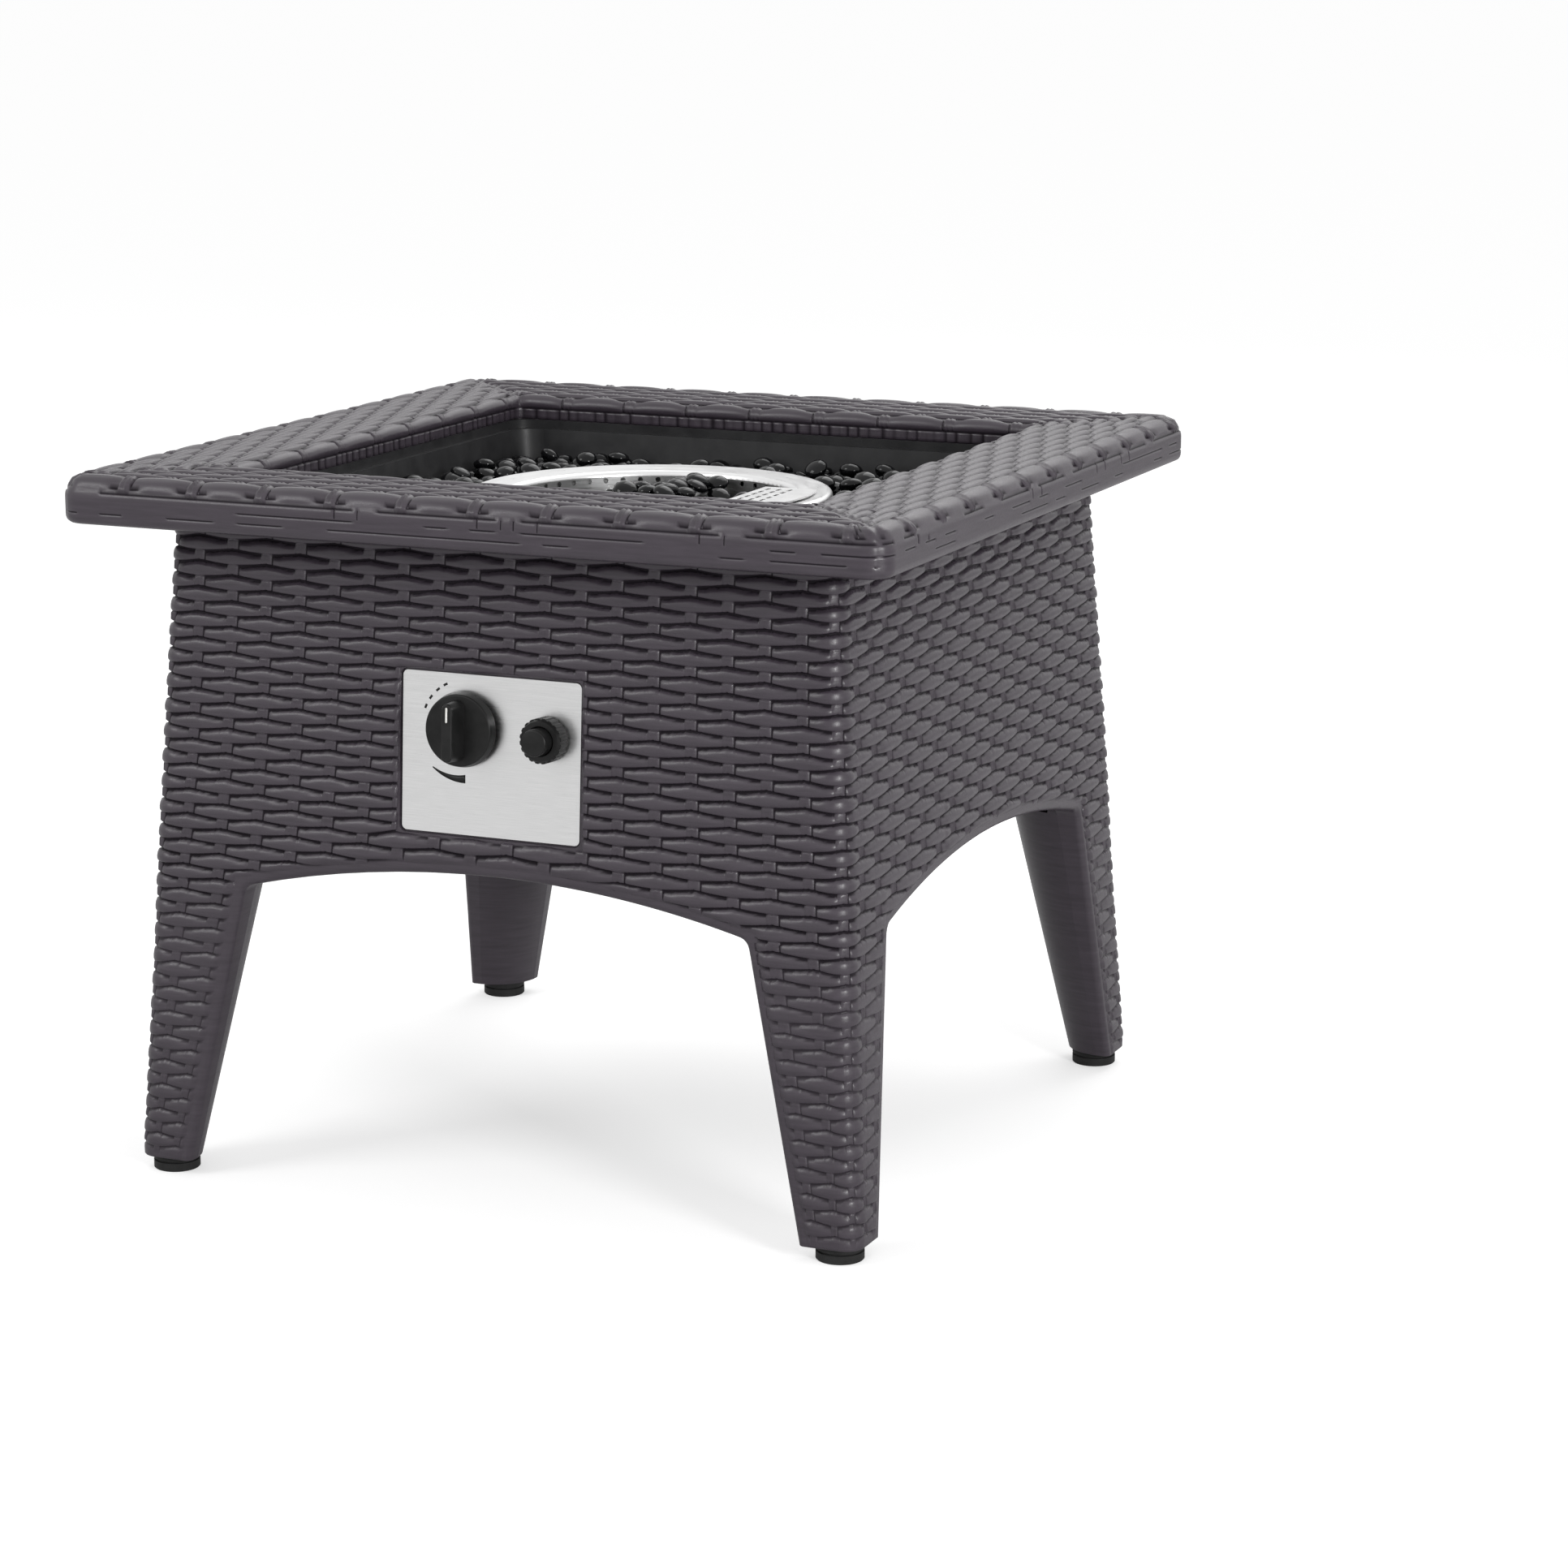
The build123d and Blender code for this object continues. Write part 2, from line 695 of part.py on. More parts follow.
# Burner legs: bent strips between the pan floor and the ring
strip_half = burner_leg_sheet / 2
with BuildPart() as strip:
    with BuildSketch(Plane.XZ.offset(-burner_leg_width / 2)):
        with BuildLine():
            Polyline(
                (leg_radius - burner_leg_tab / 2, ring_bottom),
                (leg_radius + strip_half, ring_bottom),
                (leg_radius + strip_half, floor_top + burner_leg_sheet),
                (leg_radius + burner_leg_tab, floor_top + burner_leg_sheet),
                (leg_radius + burner_leg_tab, floor_top),
                (leg_radius - strip_half, floor_top),
                (leg_radius - strip_half, ring_bottom - burner_leg_sheet),
                (leg_radius - burner_leg_tab / 2, ring_bottom - burner_leg_sheet),
                close=True,
            )
        make_face()
    extrude(amount=burner_leg_width)
    with Locations((leg_screw_radius, 0, floor_top)):
        Cylinder(screw_diameter / 2, 3 * burner_leg_sheet, mode=Mode.SUBTRACT)

burner_leg_places = [
    Location((0, 0, 0), (0, 0, burner_leg_turn * (index + 0.5))) for index in range(burner_legs_count)
]
with BuildPart() as burner_legs:
    with Locations(*burner_leg_places):
        add(strip.part)
burner_legs.part.label = "burner_legs"
export_step(burner_legs.part, "parts/burner_legs.step")

leg_screw_plane = Plane((leg_screw_radius, 0, floor_top + burner_leg_sheet))
leg_nut_plane = Plane((leg_screw_radius, 0, pan_floor - nut_height))
leg_screw_length = burner_leg_sheet + pan_sheet + 1.5 * nut_height
with BuildPart() as burner_screws:
    with Locations(*burner_leg_places):
        add(headed_screw(leg_screw_plane, leg_screw_length))
burner_screws.part.label = "burner_screws"
export_step(burner_screws.part, "parts/burner_screws.step")

with BuildPart() as burner_nuts:
    with Locations(*burner_leg_places):
        add(hex_nut(leg_nut_plane, nut_width, nut_height, screw_diameter))
burner_nuts.part.label = "burner_nuts"
export_step(burner_nuts.part, "parts/burner_nuts.step")

# Bracket on the pan floor that holds the electrode and the flame sensor
shelf_top = floor_top + pilot_height
shelf_reach = pilot_collar
with BuildPart() as pilot_bracket:
    with BuildSketch(Plane.XZ):
        with BuildLine():
            Polyline(
                (pilot_place + shelf_reach, shelf_top),
                (pilot_place - shelf_reach, shelf_top),
                (pilot_place - shelf_reach, floor_top),
                (pilot_place + shelf_reach, floor_top),
                (pilot_place + shelf_reach, floor_top + pilot_sheet),
                (pilot_place - shelf_reach + pilot_sheet, floor_top + pilot_sheet),
                (pilot_place - shelf_reach + pilot_sheet, shelf_top - pilot_sheet),
                (pilot_place + shelf_reach, shelf_top - pilot_sheet),
                close=True,
            )
        make_face()
    extrude(amount=pilot_spacing / 2 + pilot_collar, both=True)
    with BuildSketch(Plane.XY.offset(floor_top)):
        with Locations(*pilot_places):
            Circle(electrode_diameter / 2)
    extrude(amount=pilot_height, mode=Mode.SUBTRACT)
pilot_bracket.part.label = "pilot_bracket"
export_step(pilot_bracket.part, "parts/pilot_bracket.step")


def pilot_rod(place, diameter):
    """A rod through the bracket and the pan floor, with a collar on the bracket."""
    with BuildPart() as rod:
        with BuildSketch(Plane.XY.offset(pan_floor - pilot_below)):
            with Locations(place):
                Circle(diameter / 2)
        extrude(amount=shelf_top + pilot_rise / 2 - pan_floor + pilot_below)
        with BuildSketch(Plane.XY.offset(shelf_top)):
            with Locations(place):
                Circle(pilot_collar / 2)
        extrude(amount=pilot_collar_height)
        with BuildSketch(Plane.XY.offset(shelf_top + pilot_rise / 2)):
            with Locations(place):
                Circle(electrode_tip / 2)
        extrude(amount=pilot_rise / 2)
    return rod.part


with BuildPart() as electrode:
    add(pilot_rod(pilot_places[0], electrode_diameter))
electrode.part.label = "electrode"
export_step(electrode.part, "parts/electrode.step")

with BuildPart() as flame_sensor:
    add(pilot_rod(pilot_places[1], sensor_diameter))
flame_sensor.part.label = "flame_sensor"
export_step(flame_sensor.part, "parts/flame_sensor.step")

# Pierced shield over the electrode: a folded cover that laps onto the ring
shield_top = ring_top + shield_rise
shield_reach = (ring_inner - shield_gap) * cos(atan(shield_width / 2 / ring_inner))
with BuildPart() as igniter_shield:
    with BuildSketch(Plane.XY.offset(floor_top)):
        with Locations(((shield_near + shield_reach) / 2, 0)):
            Rectangle(shield_reach - shield_near, shield_width)
        Circle(ring_inner - shield_gap, mode=Mode.INTERSECT)
        with Locations((shield_near + shield_sheet + ring_inner / 2, 0)):
            Rectangle(ring_inner, shield_width - 2 * shield_sheet, mode=Mode.SUBTRACT)
    extrude(amount=shield_top - floor_top)
    with BuildSketch(Plane.XY.offset(shield_top)):
        with Locations((shield_near + ring_inner / 2, 0)):
            Rectangle(ring_inner, shield_width)
        Circle(shield_far, mode=Mode.INTERSECT)
        with Locations(((shield_near + ring_inner) / 2, 0)):
            with GridLocations(slot_pitch_x, slot_pitch_y, slot_columns, slot_rows):
                SlotOverall(slot_length, slot_width, rotation=90, mode=Mode.SUBTRACT)
    extrude(amount=shield_sheet)
igniter_shield.part.label = "igniter_shield"
export_step(igniter_shield.part, "parts/igniter_shield.step")

# Bead bed: the space that the glass beads fill, round everything that stands in the pan
fill_share = (bead_level - floor_top) / (pan_step - floor_top)
bed_floor_width = pan_floor_width - 2 * bead_gap
bed_top_width = bed_floor_width + fill_share * (pan_wall_width - pan_floor_width)
with BuildPart() as bead_bed:
    with BuildSketch(Plane.XY.offset(floor_top)):
        RectangleRounded(bed_floor_width, bed_floor_width, pan_corner)
    with BuildSketch(Plane.XY.offset(bead_level)):
        RectangleRounded(bed_top_width, bed_top_width, pan_corner)
    loft()
    with BuildSketch(Plane.XY.offset(ring_bottom - bead_gap)):
        Circle(ring_outer + bead_gap)
        Circle(ring_inner - bead_gap, mode=Mode.SUBTRACT)
    extrude(amount=ring_height, mode=Mode.SUBTRACT)
    with BuildSketch(Plane.XY.offset(floor_top)):
        Circle(hub_diameter / 2 + bead_gap)
        with PolarLocations(leg_radius + burner_leg_tab / 4, burner_legs_count, burner_leg_turn / 2):
            Rectangle(2 * burner_leg_tab, burner_leg_width + 2 * bead_gap)
        with Locations(((shield_near + leg_radius) / 2 - bead_gap, 0)):
            Rectangle(leg_radius - shield_near, shield_width + 2 * bead_gap)
    extrude(amount=ring_height + bead_level - floor_top, mode=Mode.SUBTRACT)
    with BuildSketch(Plane.XZ):
        with Locations((0, pipe_height)):
            Circle(pipe_diameter / 2 + bead_gap)
    extrude(amount=pipe_length / 2, both=True, mode=Mode.SUBTRACT)
bead_bed.part.label = "bead_bed"
export_step(bead_bed.part, "parts/bead_bed.step")

# Clips between the base, the pan flange and the top
clip_inner = opening_width / 2 + clip_reach
with BuildPart() as front_clip:
    with BuildSketch(Plane.YZ.offset(-clip_width / 2)):
        with BuildLine():
            Polyline(
                (inner_face(clip_top), clip_top),
                (inner_face(clip_foot), clip_foot),
                (inner_face(clip_foot) + clip_run, clip_foot),
                (inner_face(clip_top - clip_sheet) + clip_run, clip_top - clip_sheet),
                (-clip_inner, clip_top - clip_sheet),
                (-clip_inner, clip_top),
                close=True,
            )
        make_face()
    extrude(amount=clip_width)
    with BuildSketch(Plane.XY.offset(clip_top)):
        with Locations((0, -clip_screw_line)):
            Circle(screw_diameter / 2)
    extrude(amount=-clip_sheet, mode=Mode.SUBTRACT)
    with BuildSketch(side_plane):
        Circle(screw_diameter / 2)
    extrude(amount=-2 * clip_sheet, mode=Mode.SUBTRACT)

with BuildPart() as mounting_clips:
    with Locations(*clip_places):
        add(front_clip.part)
mounting_clips.part.label = "mounting_clips"
export_step(mounting_clips.part, "parts/mounting_clips.step")

top_screw_plane = Plane((0, -clip_screw_line, clip_top - clip_sheet), z_dir=(0, 0, -1))
with BuildPart() as top_screws:
    with Locations(*clip_places):
        add(headed_screw(top_screw_plane, clip_sheet + pan_sheet + screw_bite))
top_screws.part.label = "top_screws"
export_step(top_screws.part, "parts/top_screws.step")

clip_face = side_plane.offset(-clip_sheet)
inward_plane = Plane(clip_face.origin, x_dir=(1, 0, 0), z_dir=-side_plane.z_dir)
with BuildPart() as base_screws:
    with Locations(*clip_places):
        add(headed_screw(inward_plane, clip_sheet + screw_bite))
base_screws.part.label = "base_screws"
export_step(base_screws.part, "parts/base_screws.step")

# Control panel with studs on its back
stud_spacing = (panel_width - 2 * panel_stud_margin, panel_height - 2 * panel_stud_margin)
with BuildPart() as control_panel:
    with BuildSketch(panel_plane.offset(-panel_recess)):
        RectangleRounded(panel_width, panel_height, panel_corner)
        with Locations((knob_x, knob_y)):
            Circle(stem_hole / 2, mode=Mode.SUBTRACT)
        with Locations((igniter_x, igniter_y)):
            Circle(igniter_neck / 2, mode=Mode.SUBTRACT)
    extrude(amount=panel_sheet)
    with BuildSketch(panel_plane.offset(-panel_recess)):
        with GridLocations(*stud_spacing, 2, 2):
            Circle(panel_stud_diameter / 2)
    extrude(amount=-panel_stud_length)
control_panel.part.label = "control_panel"
export_step(control_panel.part, "parts/control_panel.step")

# Back plate: clamps the wall from inside and carries the valve
window_width = panel_width - 2 * panel_seat
window_tall = panel_height - 2 * panel_seat
with BuildPart() as panel_backplate:
    with BuildSketch(panel_plane.offset(-base_wall)):
        RectangleRounded(window_width + 2 * backplate_seat, window_tall + 2 * backplate_seat, panel_corner)
        with Locations((knob_x, knob_y)):
            Circle(stem_hole / 2, mode=Mode.SUBTRACT)
            with GridLocations(valve_screw_spacing, 1, 2, 1):
                Circle(screw_diameter / 2, mode=Mode.SUBTRACT)
        with Locations((igniter_x, igniter_y)):
            Circle(cap_diameter / 2, mode=Mode.SUBTRACT)
        with GridLocations(*stud_spacing, 2, 2):
            Circle(panel_stud_diameter / 2, mode=Mode.SUBTRACT)
    extrude(amount=-backplate_sheet)
panel_backplate.part.label = "panel_backplate"
export_step(panel_backplate.part, "parts/panel_backplate.step")

with BuildPart() as panel_nuts:
    nut_plane = panel_plane.offset(valve_front - panel_nut_height)
    with BuildSketch(nut_plane):
        with GridLocations(*stud_spacing, 2, 2):
            RegularPolygon(panel_nut_width / 2, 6, major_radius=False)
            Circle(panel_stud_diameter / 2, mode=Mode.SUBTRACT)
    extrude(amount=panel_nut_height)
panel_nuts.part.label = "panel_nuts"
export_step(panel_nuts.part, "parts/panel_nuts.step")

# Gas valve: a body behind the back plate, with an inlet below and an outlet behind
valve_back = valve_front - valve_length
plug_front = valve_front - bonnet
inlet_depth = valve_front - inlet_boss_back
inlet_plane = Plane(
    origin=knob_plane.from_local_coords(Vector(0, -inlet_boss_reach, inlet_depth)),
    x_dir=(1, 0, 0),
    z_dir=-knob_plane.y_dir,
)
with BuildPart() as gas_valve:
    with BuildSketch(knob_plane.offset(valve_front)):
        SlotOverall(valve_flange_length, valve_flange_width)
        with GridLocations(valve_screw_spacing, 1, 2, 1):
            Circle(screw_diameter / 2, mode=Mode.SUBTRACT)
    extrude(amount=-valve_flange)
    with BuildSketch(knob_plane.offset(valve_front - valve_flange)):
        Circle(valve_diameter / 2)
    extrude(amount=valve_flange - valve_length)
    with BuildSketch(inlet_plane):
        Circle(inlet_boss_diameter / 2)
    extrude(amount=-inlet_boss_reach)
    with BuildSketch(knob_plane.offset(valve_back)):
        Circle(outlet_boss_diameter / 2)
    extrude(amount=-outlet_boss_length)
    with BuildSketch(knob_plane.offset(valve_front)):
        Circle(stem_diameter / 2 + running_fit)
    extrude(amount=-bonnet, mode=Mode.SUBTRACT)
    with BuildSketch(knob_plane.offset(plug_front)):
        Circle(plug_diameter / 2 + running_fit)
    extrude(amount=-plug_length - 2 * plug_end_play, mode=Mode.SUBTRACT)
    with BuildSketch(knob_plane.offset(valve_back - outlet_boss_length)):
        Circle(tube_diameter / 2)
    extrude(amount=outlet_boss_length, mode=Mode.SUBTRACT)
gas_valve.part.label = "gas_valve"
export_step(gas_valve.part, "parts/gas_valve.step")

with BuildPart() as valve_screws:
    for shift in (-valve_screw_spacing / 2, valve_screw_spacing / 2):
        screw_plane = face_frame(knob_x + shift, knob_y).offset(-base_wall)
        add(headed_screw(screw_plane, backplate_sheet + valve_flange))
valve_screws.part.label = "valve_screws"
export_step(valve_screws.part, "parts/valve_screws.step")

# Inlet fitting with a flare thread for the gas hose
with BuildPart() as gas_inlet:
    with BuildSketch(inlet_plane):
        RegularPolygon(inlet_hex / 2, 6, major_radius=False)
    extrude(amount=inlet_hex_height)
    with BuildSketch(inlet_plane.offset(inlet_hex_height)):
        Circle(flare_thread / 2)
    extrude(amount=flare_length)
    with BuildSketch(inlet_plane.offset(inlet_hex_height + flare_length)):
        Circle(flare_thread / 2 - 1)
    extrude(amount=flare_nose, taper=45)
    with BuildSketch(inlet_plane.offset(inlet_hex_height + flare_length + flare_nose)):
        Circle(flare_thread / 2 - 1 - flare_nose - 0.5)
    extrude(amount=-flare_length, mode=Mode.SUBTRACT)
gas_inlet.part.label = "gas_inlet"
export_step(gas_inlet.part, "parts/gas_inlet.step")

# Valve plug: turned by the flat of the stem, which slides in it
with BuildPart() as valve_plug:
    with BuildSketch(knob_plane.offset(plug_front - plug_end_play)):
        Circle(plug_diameter / 2)
    extrude(amount=-plug_length)
    with BuildSketch(knob_plane.offset(plug_front - plug_end_play)):
        Circle(stem_diameter / 2 + running_fit)
        with Locations((stem_flat + running_fit + stem_diameter / 2, 0)):
            Rectangle(stem_diameter, stem_diameter, mode=Mode.SUBTRACT)
    extrude(amount=-stem_in_plug - push_travel - plug_end_play, mode=Mode.SUBTRACT)
valve_plug.part.label = "valve_plug"
export_step(valve_plug.part, "parts/valve_plug.step")

# Stem with a flat, and a collar that the return spring bears on
knob_back = panel_front + knob_clear
stem_end = plug_front - plug_end_play - stem_in_plug
collar_back = panel_front - stem_collar_height
with BuildPart() as valve_stem:
    with BuildSketch(knob_plane.offset(stem_end)):
        Circle(stem_diameter / 2)
        with Locations((stem_flat + stem_diameter / 2, 0)):
            Rectangle(stem_diameter, stem_diameter, mode=Mode.SUBTRACT)
    extrude(amount=knob_back + stem_in_knob - stem_end)
    with BuildSketch(knob_plane.offset(collar_back)):
        Circle(stem_collar / 2)
    extrude(amount=stem_collar_height)
valve_stem.part.label = "valve_stem"
export_step(valve_stem.part, "parts/valve_stem.step")

with BuildPart() as stem_spring:
    add(coil_spring(knob_plane.offset(valve_front), collar_back - valve_front, stem_spring_diameter))
stem_spring.part.label = "stem_spring"
export_step(stem_spring.part, "parts/stem_spring.step")

# Knob: a round skirt with a grip bar across it
knob_face = knob_back + knob_skirt
hub_radius = stem_diameter / 2 + knob_wall
with BuildPart() as knob:
    for depth, across in ((knob_back, knob_diameter), (knob_face, knob_face_diameter)):
        with BuildSketch(knob_plane.offset(depth)):
            Circle(across / 2)
    loft()
    face_rim = knob.edges().sort_by(Axis(knob_plane.origin, tuple(knob_plane.z_dir)))[-1:]
    fillet(face_rim, knob_edge)
    with BuildSketch(knob_plane.offset(knob_face - knob_wall)):
        SlotOverall(grip_length, grip_width, rotation=90)
    extrude(amount=grip_height + knob_wall, taper=grip_taper)
    grip_rim = knob.faces().sort_by(Axis(knob_plane.origin, tuple(knob_plane.z_dir)))[-1].edges()
    fillet(grip_rim, knob_edge)
    with BuildSketch(knob_plane.offset(knob_back)):
        Circle(knob_face_diameter / 2 - knob_wall)
        Circle(hub_radius, mode=Mode.SUBTRACT)
    extrude(amount=knob_skirt - knob_wall, mode=Mode.SUBTRACT)
    with BuildSketch(knob_plane.offset(knob_back)):
        Circle(stem_diameter / 2)
        with Locations((stem_flat + stem_diameter / 2, 0)):
            Rectangle(stem_diameter, stem_diameter, mode=Mode.SUBTRACT)
    extrude(amount=stem_in_knob, mode=Mode.SUBTRACT)
knob.part.label = "knob"
export_step(knob.part, "parts/knob.step")

# Gas tube from the valve to the jet elbow, with two bends
tube_start = knob_plane.from_local_coords(Vector(0, 0, valve_back))
tube_end = Vector(0, -elbow_reach / 2, elbow_height)
tube_points = [
    tube_start,
    tube_start - knob_plane.z_dir * (outlet_boss_length + tube_run),
    tube_end - Vector(0, elbow_reach / 2 + tube_run, 0),
    tube_end,
]
with BuildPart() as gas_tube:
    with BuildLine() as tube_path:
        FilletPolyline(*tube_points, radius=tube_bend)
    with BuildSketch(Plane(tube_path.line @ 0, z_dir=tube_path.line % 0)):
        Circle(tube_diameter / 2)
        Circle(tube_bore / 2, mode=Mode.SUBTRACT)
    sweep()
gas_tube.part.label = "gas_tube"
export_step(gas_tube.part, "parts/gas_tube.step")

# Igniter: a body through the panel, held by a nut behind it
with BuildPart() as igniter_body:
    with BuildSketch(igniter_plane.offset(-igniter_back)):
        Circle(igniter_neck / 2)
    extrude(amount=igniter_back + igniter_neck_front)
    with BuildSketch(igniter_plane.offset(panel_front)):
        Circle(igniter_flange / 2)
    extrude(amount=igniter_flange_sheet)
    with BuildSketch(igniter_plane.offset(igniter_neck_front)):
        Circle(igniter_bore / 2)
    extrude(amount=igniter_end - igniter_back - igniter_neck_front, mode=Mode.SUBTRACT)
    with BuildSketch(igniter_plane.offset(-igniter_back)):
        with GridLocations(terminal_spacing, 1, 2, 1):
            Rectangle(terminal_sheet, terminal_width)
    extrude(amount=-terminal_length)
igniter_body.part.label = "igniter_body"
export_step(igniter_body.part, "parts/igniter_body.step")

with BuildPart() as igniter_nut:
    igniter_nut_plane = igniter_plane.offset(-panel_recess - igniter_nut_height)
    add(hex_nut(igniter_nut_plane, igniter_nut_width, igniter_nut_height, igniter_neck))
igniter_nut.part.label = "igniter_nut"
export_step(igniter_nut.part, "parts/igniter_nut.step")

# Fluted cap, screwed on the neck to hold the button and the cell
cap_back = panel_front + igniter_flange_sheet
cap_end = cap_back + cap_length
with BuildPart() as igniter_cap:
    with BuildSketch(igniter_plane.offset(cap_back)):
        Circle(cap_diameter / 2)
        with PolarLocations(cap_diameter / 2 + flute_diameter / 4, cap_flutes):
            Circle(flute_diameter / 2, mode=Mode.SUBTRACT)
        Circle(igniter_neck / 2, mode=Mode.SUBTRACT)
    extrude(amount=cap_length - cap_front)
    with BuildSketch(igniter_plane.offset(cap_end - cap_front)):
        Circle(cap_diameter / 2 - flute_diameter / 4)
        Circle(button_diameter / 2 + running_fit, mode=Mode.SUBTRACT)
    extrude(amount=cap_front, taper=30)
    with BuildSketch(igniter_plane.offset(cap_end - cap_front)):
        Circle(button_diameter / 2 + running_fit)
    extrude(amount=cap_front, mode=Mode.SUBTRACT)
igniter_cap.part.label = "igniter_cap"
export_step(igniter_cap.part, "parts/igniter_cap.step")

# Button, kept in by its flange
flange_front = cap_end - cap_front - button_play
button_back = flange_front - button_flange_sheet
with BuildPart() as igniter_button:
    with BuildSketch(igniter_plane.offset(button_back)):
        Circle(button_flange / 2)
    extrude(amount=button_flange_sheet)
    with BuildSketch(igniter_plane.offset(flange_front)):
        Circle(button_diameter / 2)
    extrude(amount=cap_end + button_proud - flange_front)
    button_rim = igniter_button.edges().sort_by(Axis(igniter_plane.origin, tuple(igniter_plane.z_dir)))
    fillet(button_rim[-1:], knob_edge)
igniter_button.part.label = "igniter_button"
export_step(igniter_button.part, "parts/igniter_button.step")

# Cell in the igniter body, and the spring between it and the button
cell_back = igniter_end - igniter_back
cell_front = cell_back + cell_length + cell_nub_height
with BuildPart() as igniter_cell:
    with BuildSketch(igniter_plane.offset(cell_back)):
        Circle(cell_diameter / 2)
    extrude(amount=cell_length)
    with BuildSketch(igniter_plane.offset(cell_back + cell_length)):
        Circle(cell_nub / 2)
    extrude(amount=cell_nub_height)
igniter_cell.part.label = "igniter_cell"
export_step(igniter_cell.part, "parts/igniter_cell.step")

with BuildPart() as button_spring:
    add(coil_spring(igniter_plane.offset(cell_front), button_back - cell_front, button_spring_diameter))
button_spring.part.label = "button_spring"
export_step(button_spring.part, "parts/button_spring.step")
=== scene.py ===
import json
import math

import bmesh
import bpy
import numpy as np
from mathutils import Matrix, Vector


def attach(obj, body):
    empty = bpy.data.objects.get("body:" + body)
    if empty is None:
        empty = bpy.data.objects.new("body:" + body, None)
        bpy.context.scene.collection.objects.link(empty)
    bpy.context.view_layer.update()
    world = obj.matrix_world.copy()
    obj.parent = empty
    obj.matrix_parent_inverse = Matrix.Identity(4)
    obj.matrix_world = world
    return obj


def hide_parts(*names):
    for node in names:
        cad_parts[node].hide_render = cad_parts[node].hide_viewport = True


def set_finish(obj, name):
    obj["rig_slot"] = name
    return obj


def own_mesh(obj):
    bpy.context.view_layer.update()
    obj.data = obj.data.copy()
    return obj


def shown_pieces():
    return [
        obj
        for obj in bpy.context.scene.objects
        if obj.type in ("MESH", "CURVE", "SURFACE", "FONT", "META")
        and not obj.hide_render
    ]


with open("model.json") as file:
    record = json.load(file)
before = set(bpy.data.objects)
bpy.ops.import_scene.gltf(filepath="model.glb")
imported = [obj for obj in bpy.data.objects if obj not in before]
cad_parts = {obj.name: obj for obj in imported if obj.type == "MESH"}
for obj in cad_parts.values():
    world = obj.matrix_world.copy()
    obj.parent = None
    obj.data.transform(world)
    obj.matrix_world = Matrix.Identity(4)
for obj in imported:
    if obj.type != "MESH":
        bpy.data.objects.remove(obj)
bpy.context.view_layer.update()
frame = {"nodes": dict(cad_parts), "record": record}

# A square gas fire table of moulded weave. The solids carry the form. This script rounds
# the legs, lays the woven relief over the base and the rim, fills the pan with glass
# beads, prints the panel, copies the return springs into pieces of their own and finishes every surface.
# Sizes are millimetres in the frame of the solids, and MM turns them into metres.
MM = 0.001
QUARTER = math.pi / 4

# The photograph's camera
CAMERA_PLACE = (1362.5, -2900.2, 970.2)
CAMERA_AZIMUTH = 23.331
CAMERA_ELEVATION = 12.414
CAMERA_LENS = 96.66

# Base, as in the solids
RIM_FOOT = 497.0
APRON = 264.0
FLARE = 0.0607
TILT = math.atan(FLARE)
BASE_CORNER = 14.0
LEG_FOOT = 12.0
ARCH_TOP = 252.0
ARCH_END = 226.0
ARCH_HALF = 203.0
GAP_HALF = 248.5

# Table top, as in the solids
TOP = 530.0
LIP = 230.0
LIP_FOOT = 512.0
LIP_ROUND = 7.0
RIM = 324.0
RIM_ROUND = 14.0
RIM_TURN = 6.0
LIP_CORNER = 10.0
RIM_CORNER = 18.0

# Weave: upright stakes of two strands, and floats that pass over every second stake
PITCH = 28.3
STAKES = 19
STAKE_STEPS = (
    *(-0.36, -0.25, -0.195, -0.175, -0.145, -0.06, 0.0),
    *(0.06, 0.145, 0.17, 0.215, 0.235, 0.3, 0.42, 0.5),
)
STRAND_STEPS = (0.0, 0.05, 0.14, 0.35, 0.6, 0.8, 0.88)
STAKE_HALF = 0.155
STAKE_STRAND = 0.075
FLOAT_REACH = (0.81, 0.85)
FLOAT_END = 0.38
FLOAT_TAPER = 0.38
FLOAT_CREST = 3.1
STAKE_CREST = 2.3
ROW = 9.45
FIRST_ROW = 12.2
ROWS = 53
ROW_WAVE = 1.3
ROW_SAG = 1.6
ROW_JITTER = 0.2
FAN = 0.0613
LAST_STAKE = 8.5
LEG_STAKE = 7.0
CREST_JITTER = 0.06
LEG_RELIEF = 0.6
LEG_FADE = (-60.0, 20.0)
FOOT_FADE = (12.0, 24.0)
PANEL_SHOWN = 0.45
PANEL_FADE = 3.0
EDGE_BAND = 5.6
EDGE_FADE = 7.0
EDGE_SLOPE = 5.0
PLAIN_LIFT = 0.6
GAP_LIFT = 0.12
TOP_RAGGED = 0.22
EDGE_SINK = -0.4
BACK_SINK = -0.8
# Painted shade in the gaps of the base's weave: none above the first height of relief, full at the second
# reach below it
GROOVE_SHADE_TOP = 1.4
GROOVE_SHADE_REACH = 1.2
BACK_STEP = 28
ARCH_CLEAR = 0.4
NEAR = 0.01
FAR = 1000.0

# Sections of the strands, as shares of their height from edge to edge
SHINGLE = ((0.0, 0.05, 0.14, 0.35, 0.6, 0.8, 0.88, 1.0), (0.0, 0.7, 0.95, 1.0, 0.9, 0.62, 0.04, 0.0))
BLOCK = ((0.0, 0.05, 0.14, 0.8, 0.88, 1.0), (0.0, 0.75, 0.95, 1.0, 0.95, 0.75))
ROUND = ((0.0, 0.05, 0.14, 0.35, 0.6, 0.8, 0.88, 1.0), (0.0, 0.35, 0.8, 1.0, 0.97, 0.68, 0.2, 0.0))

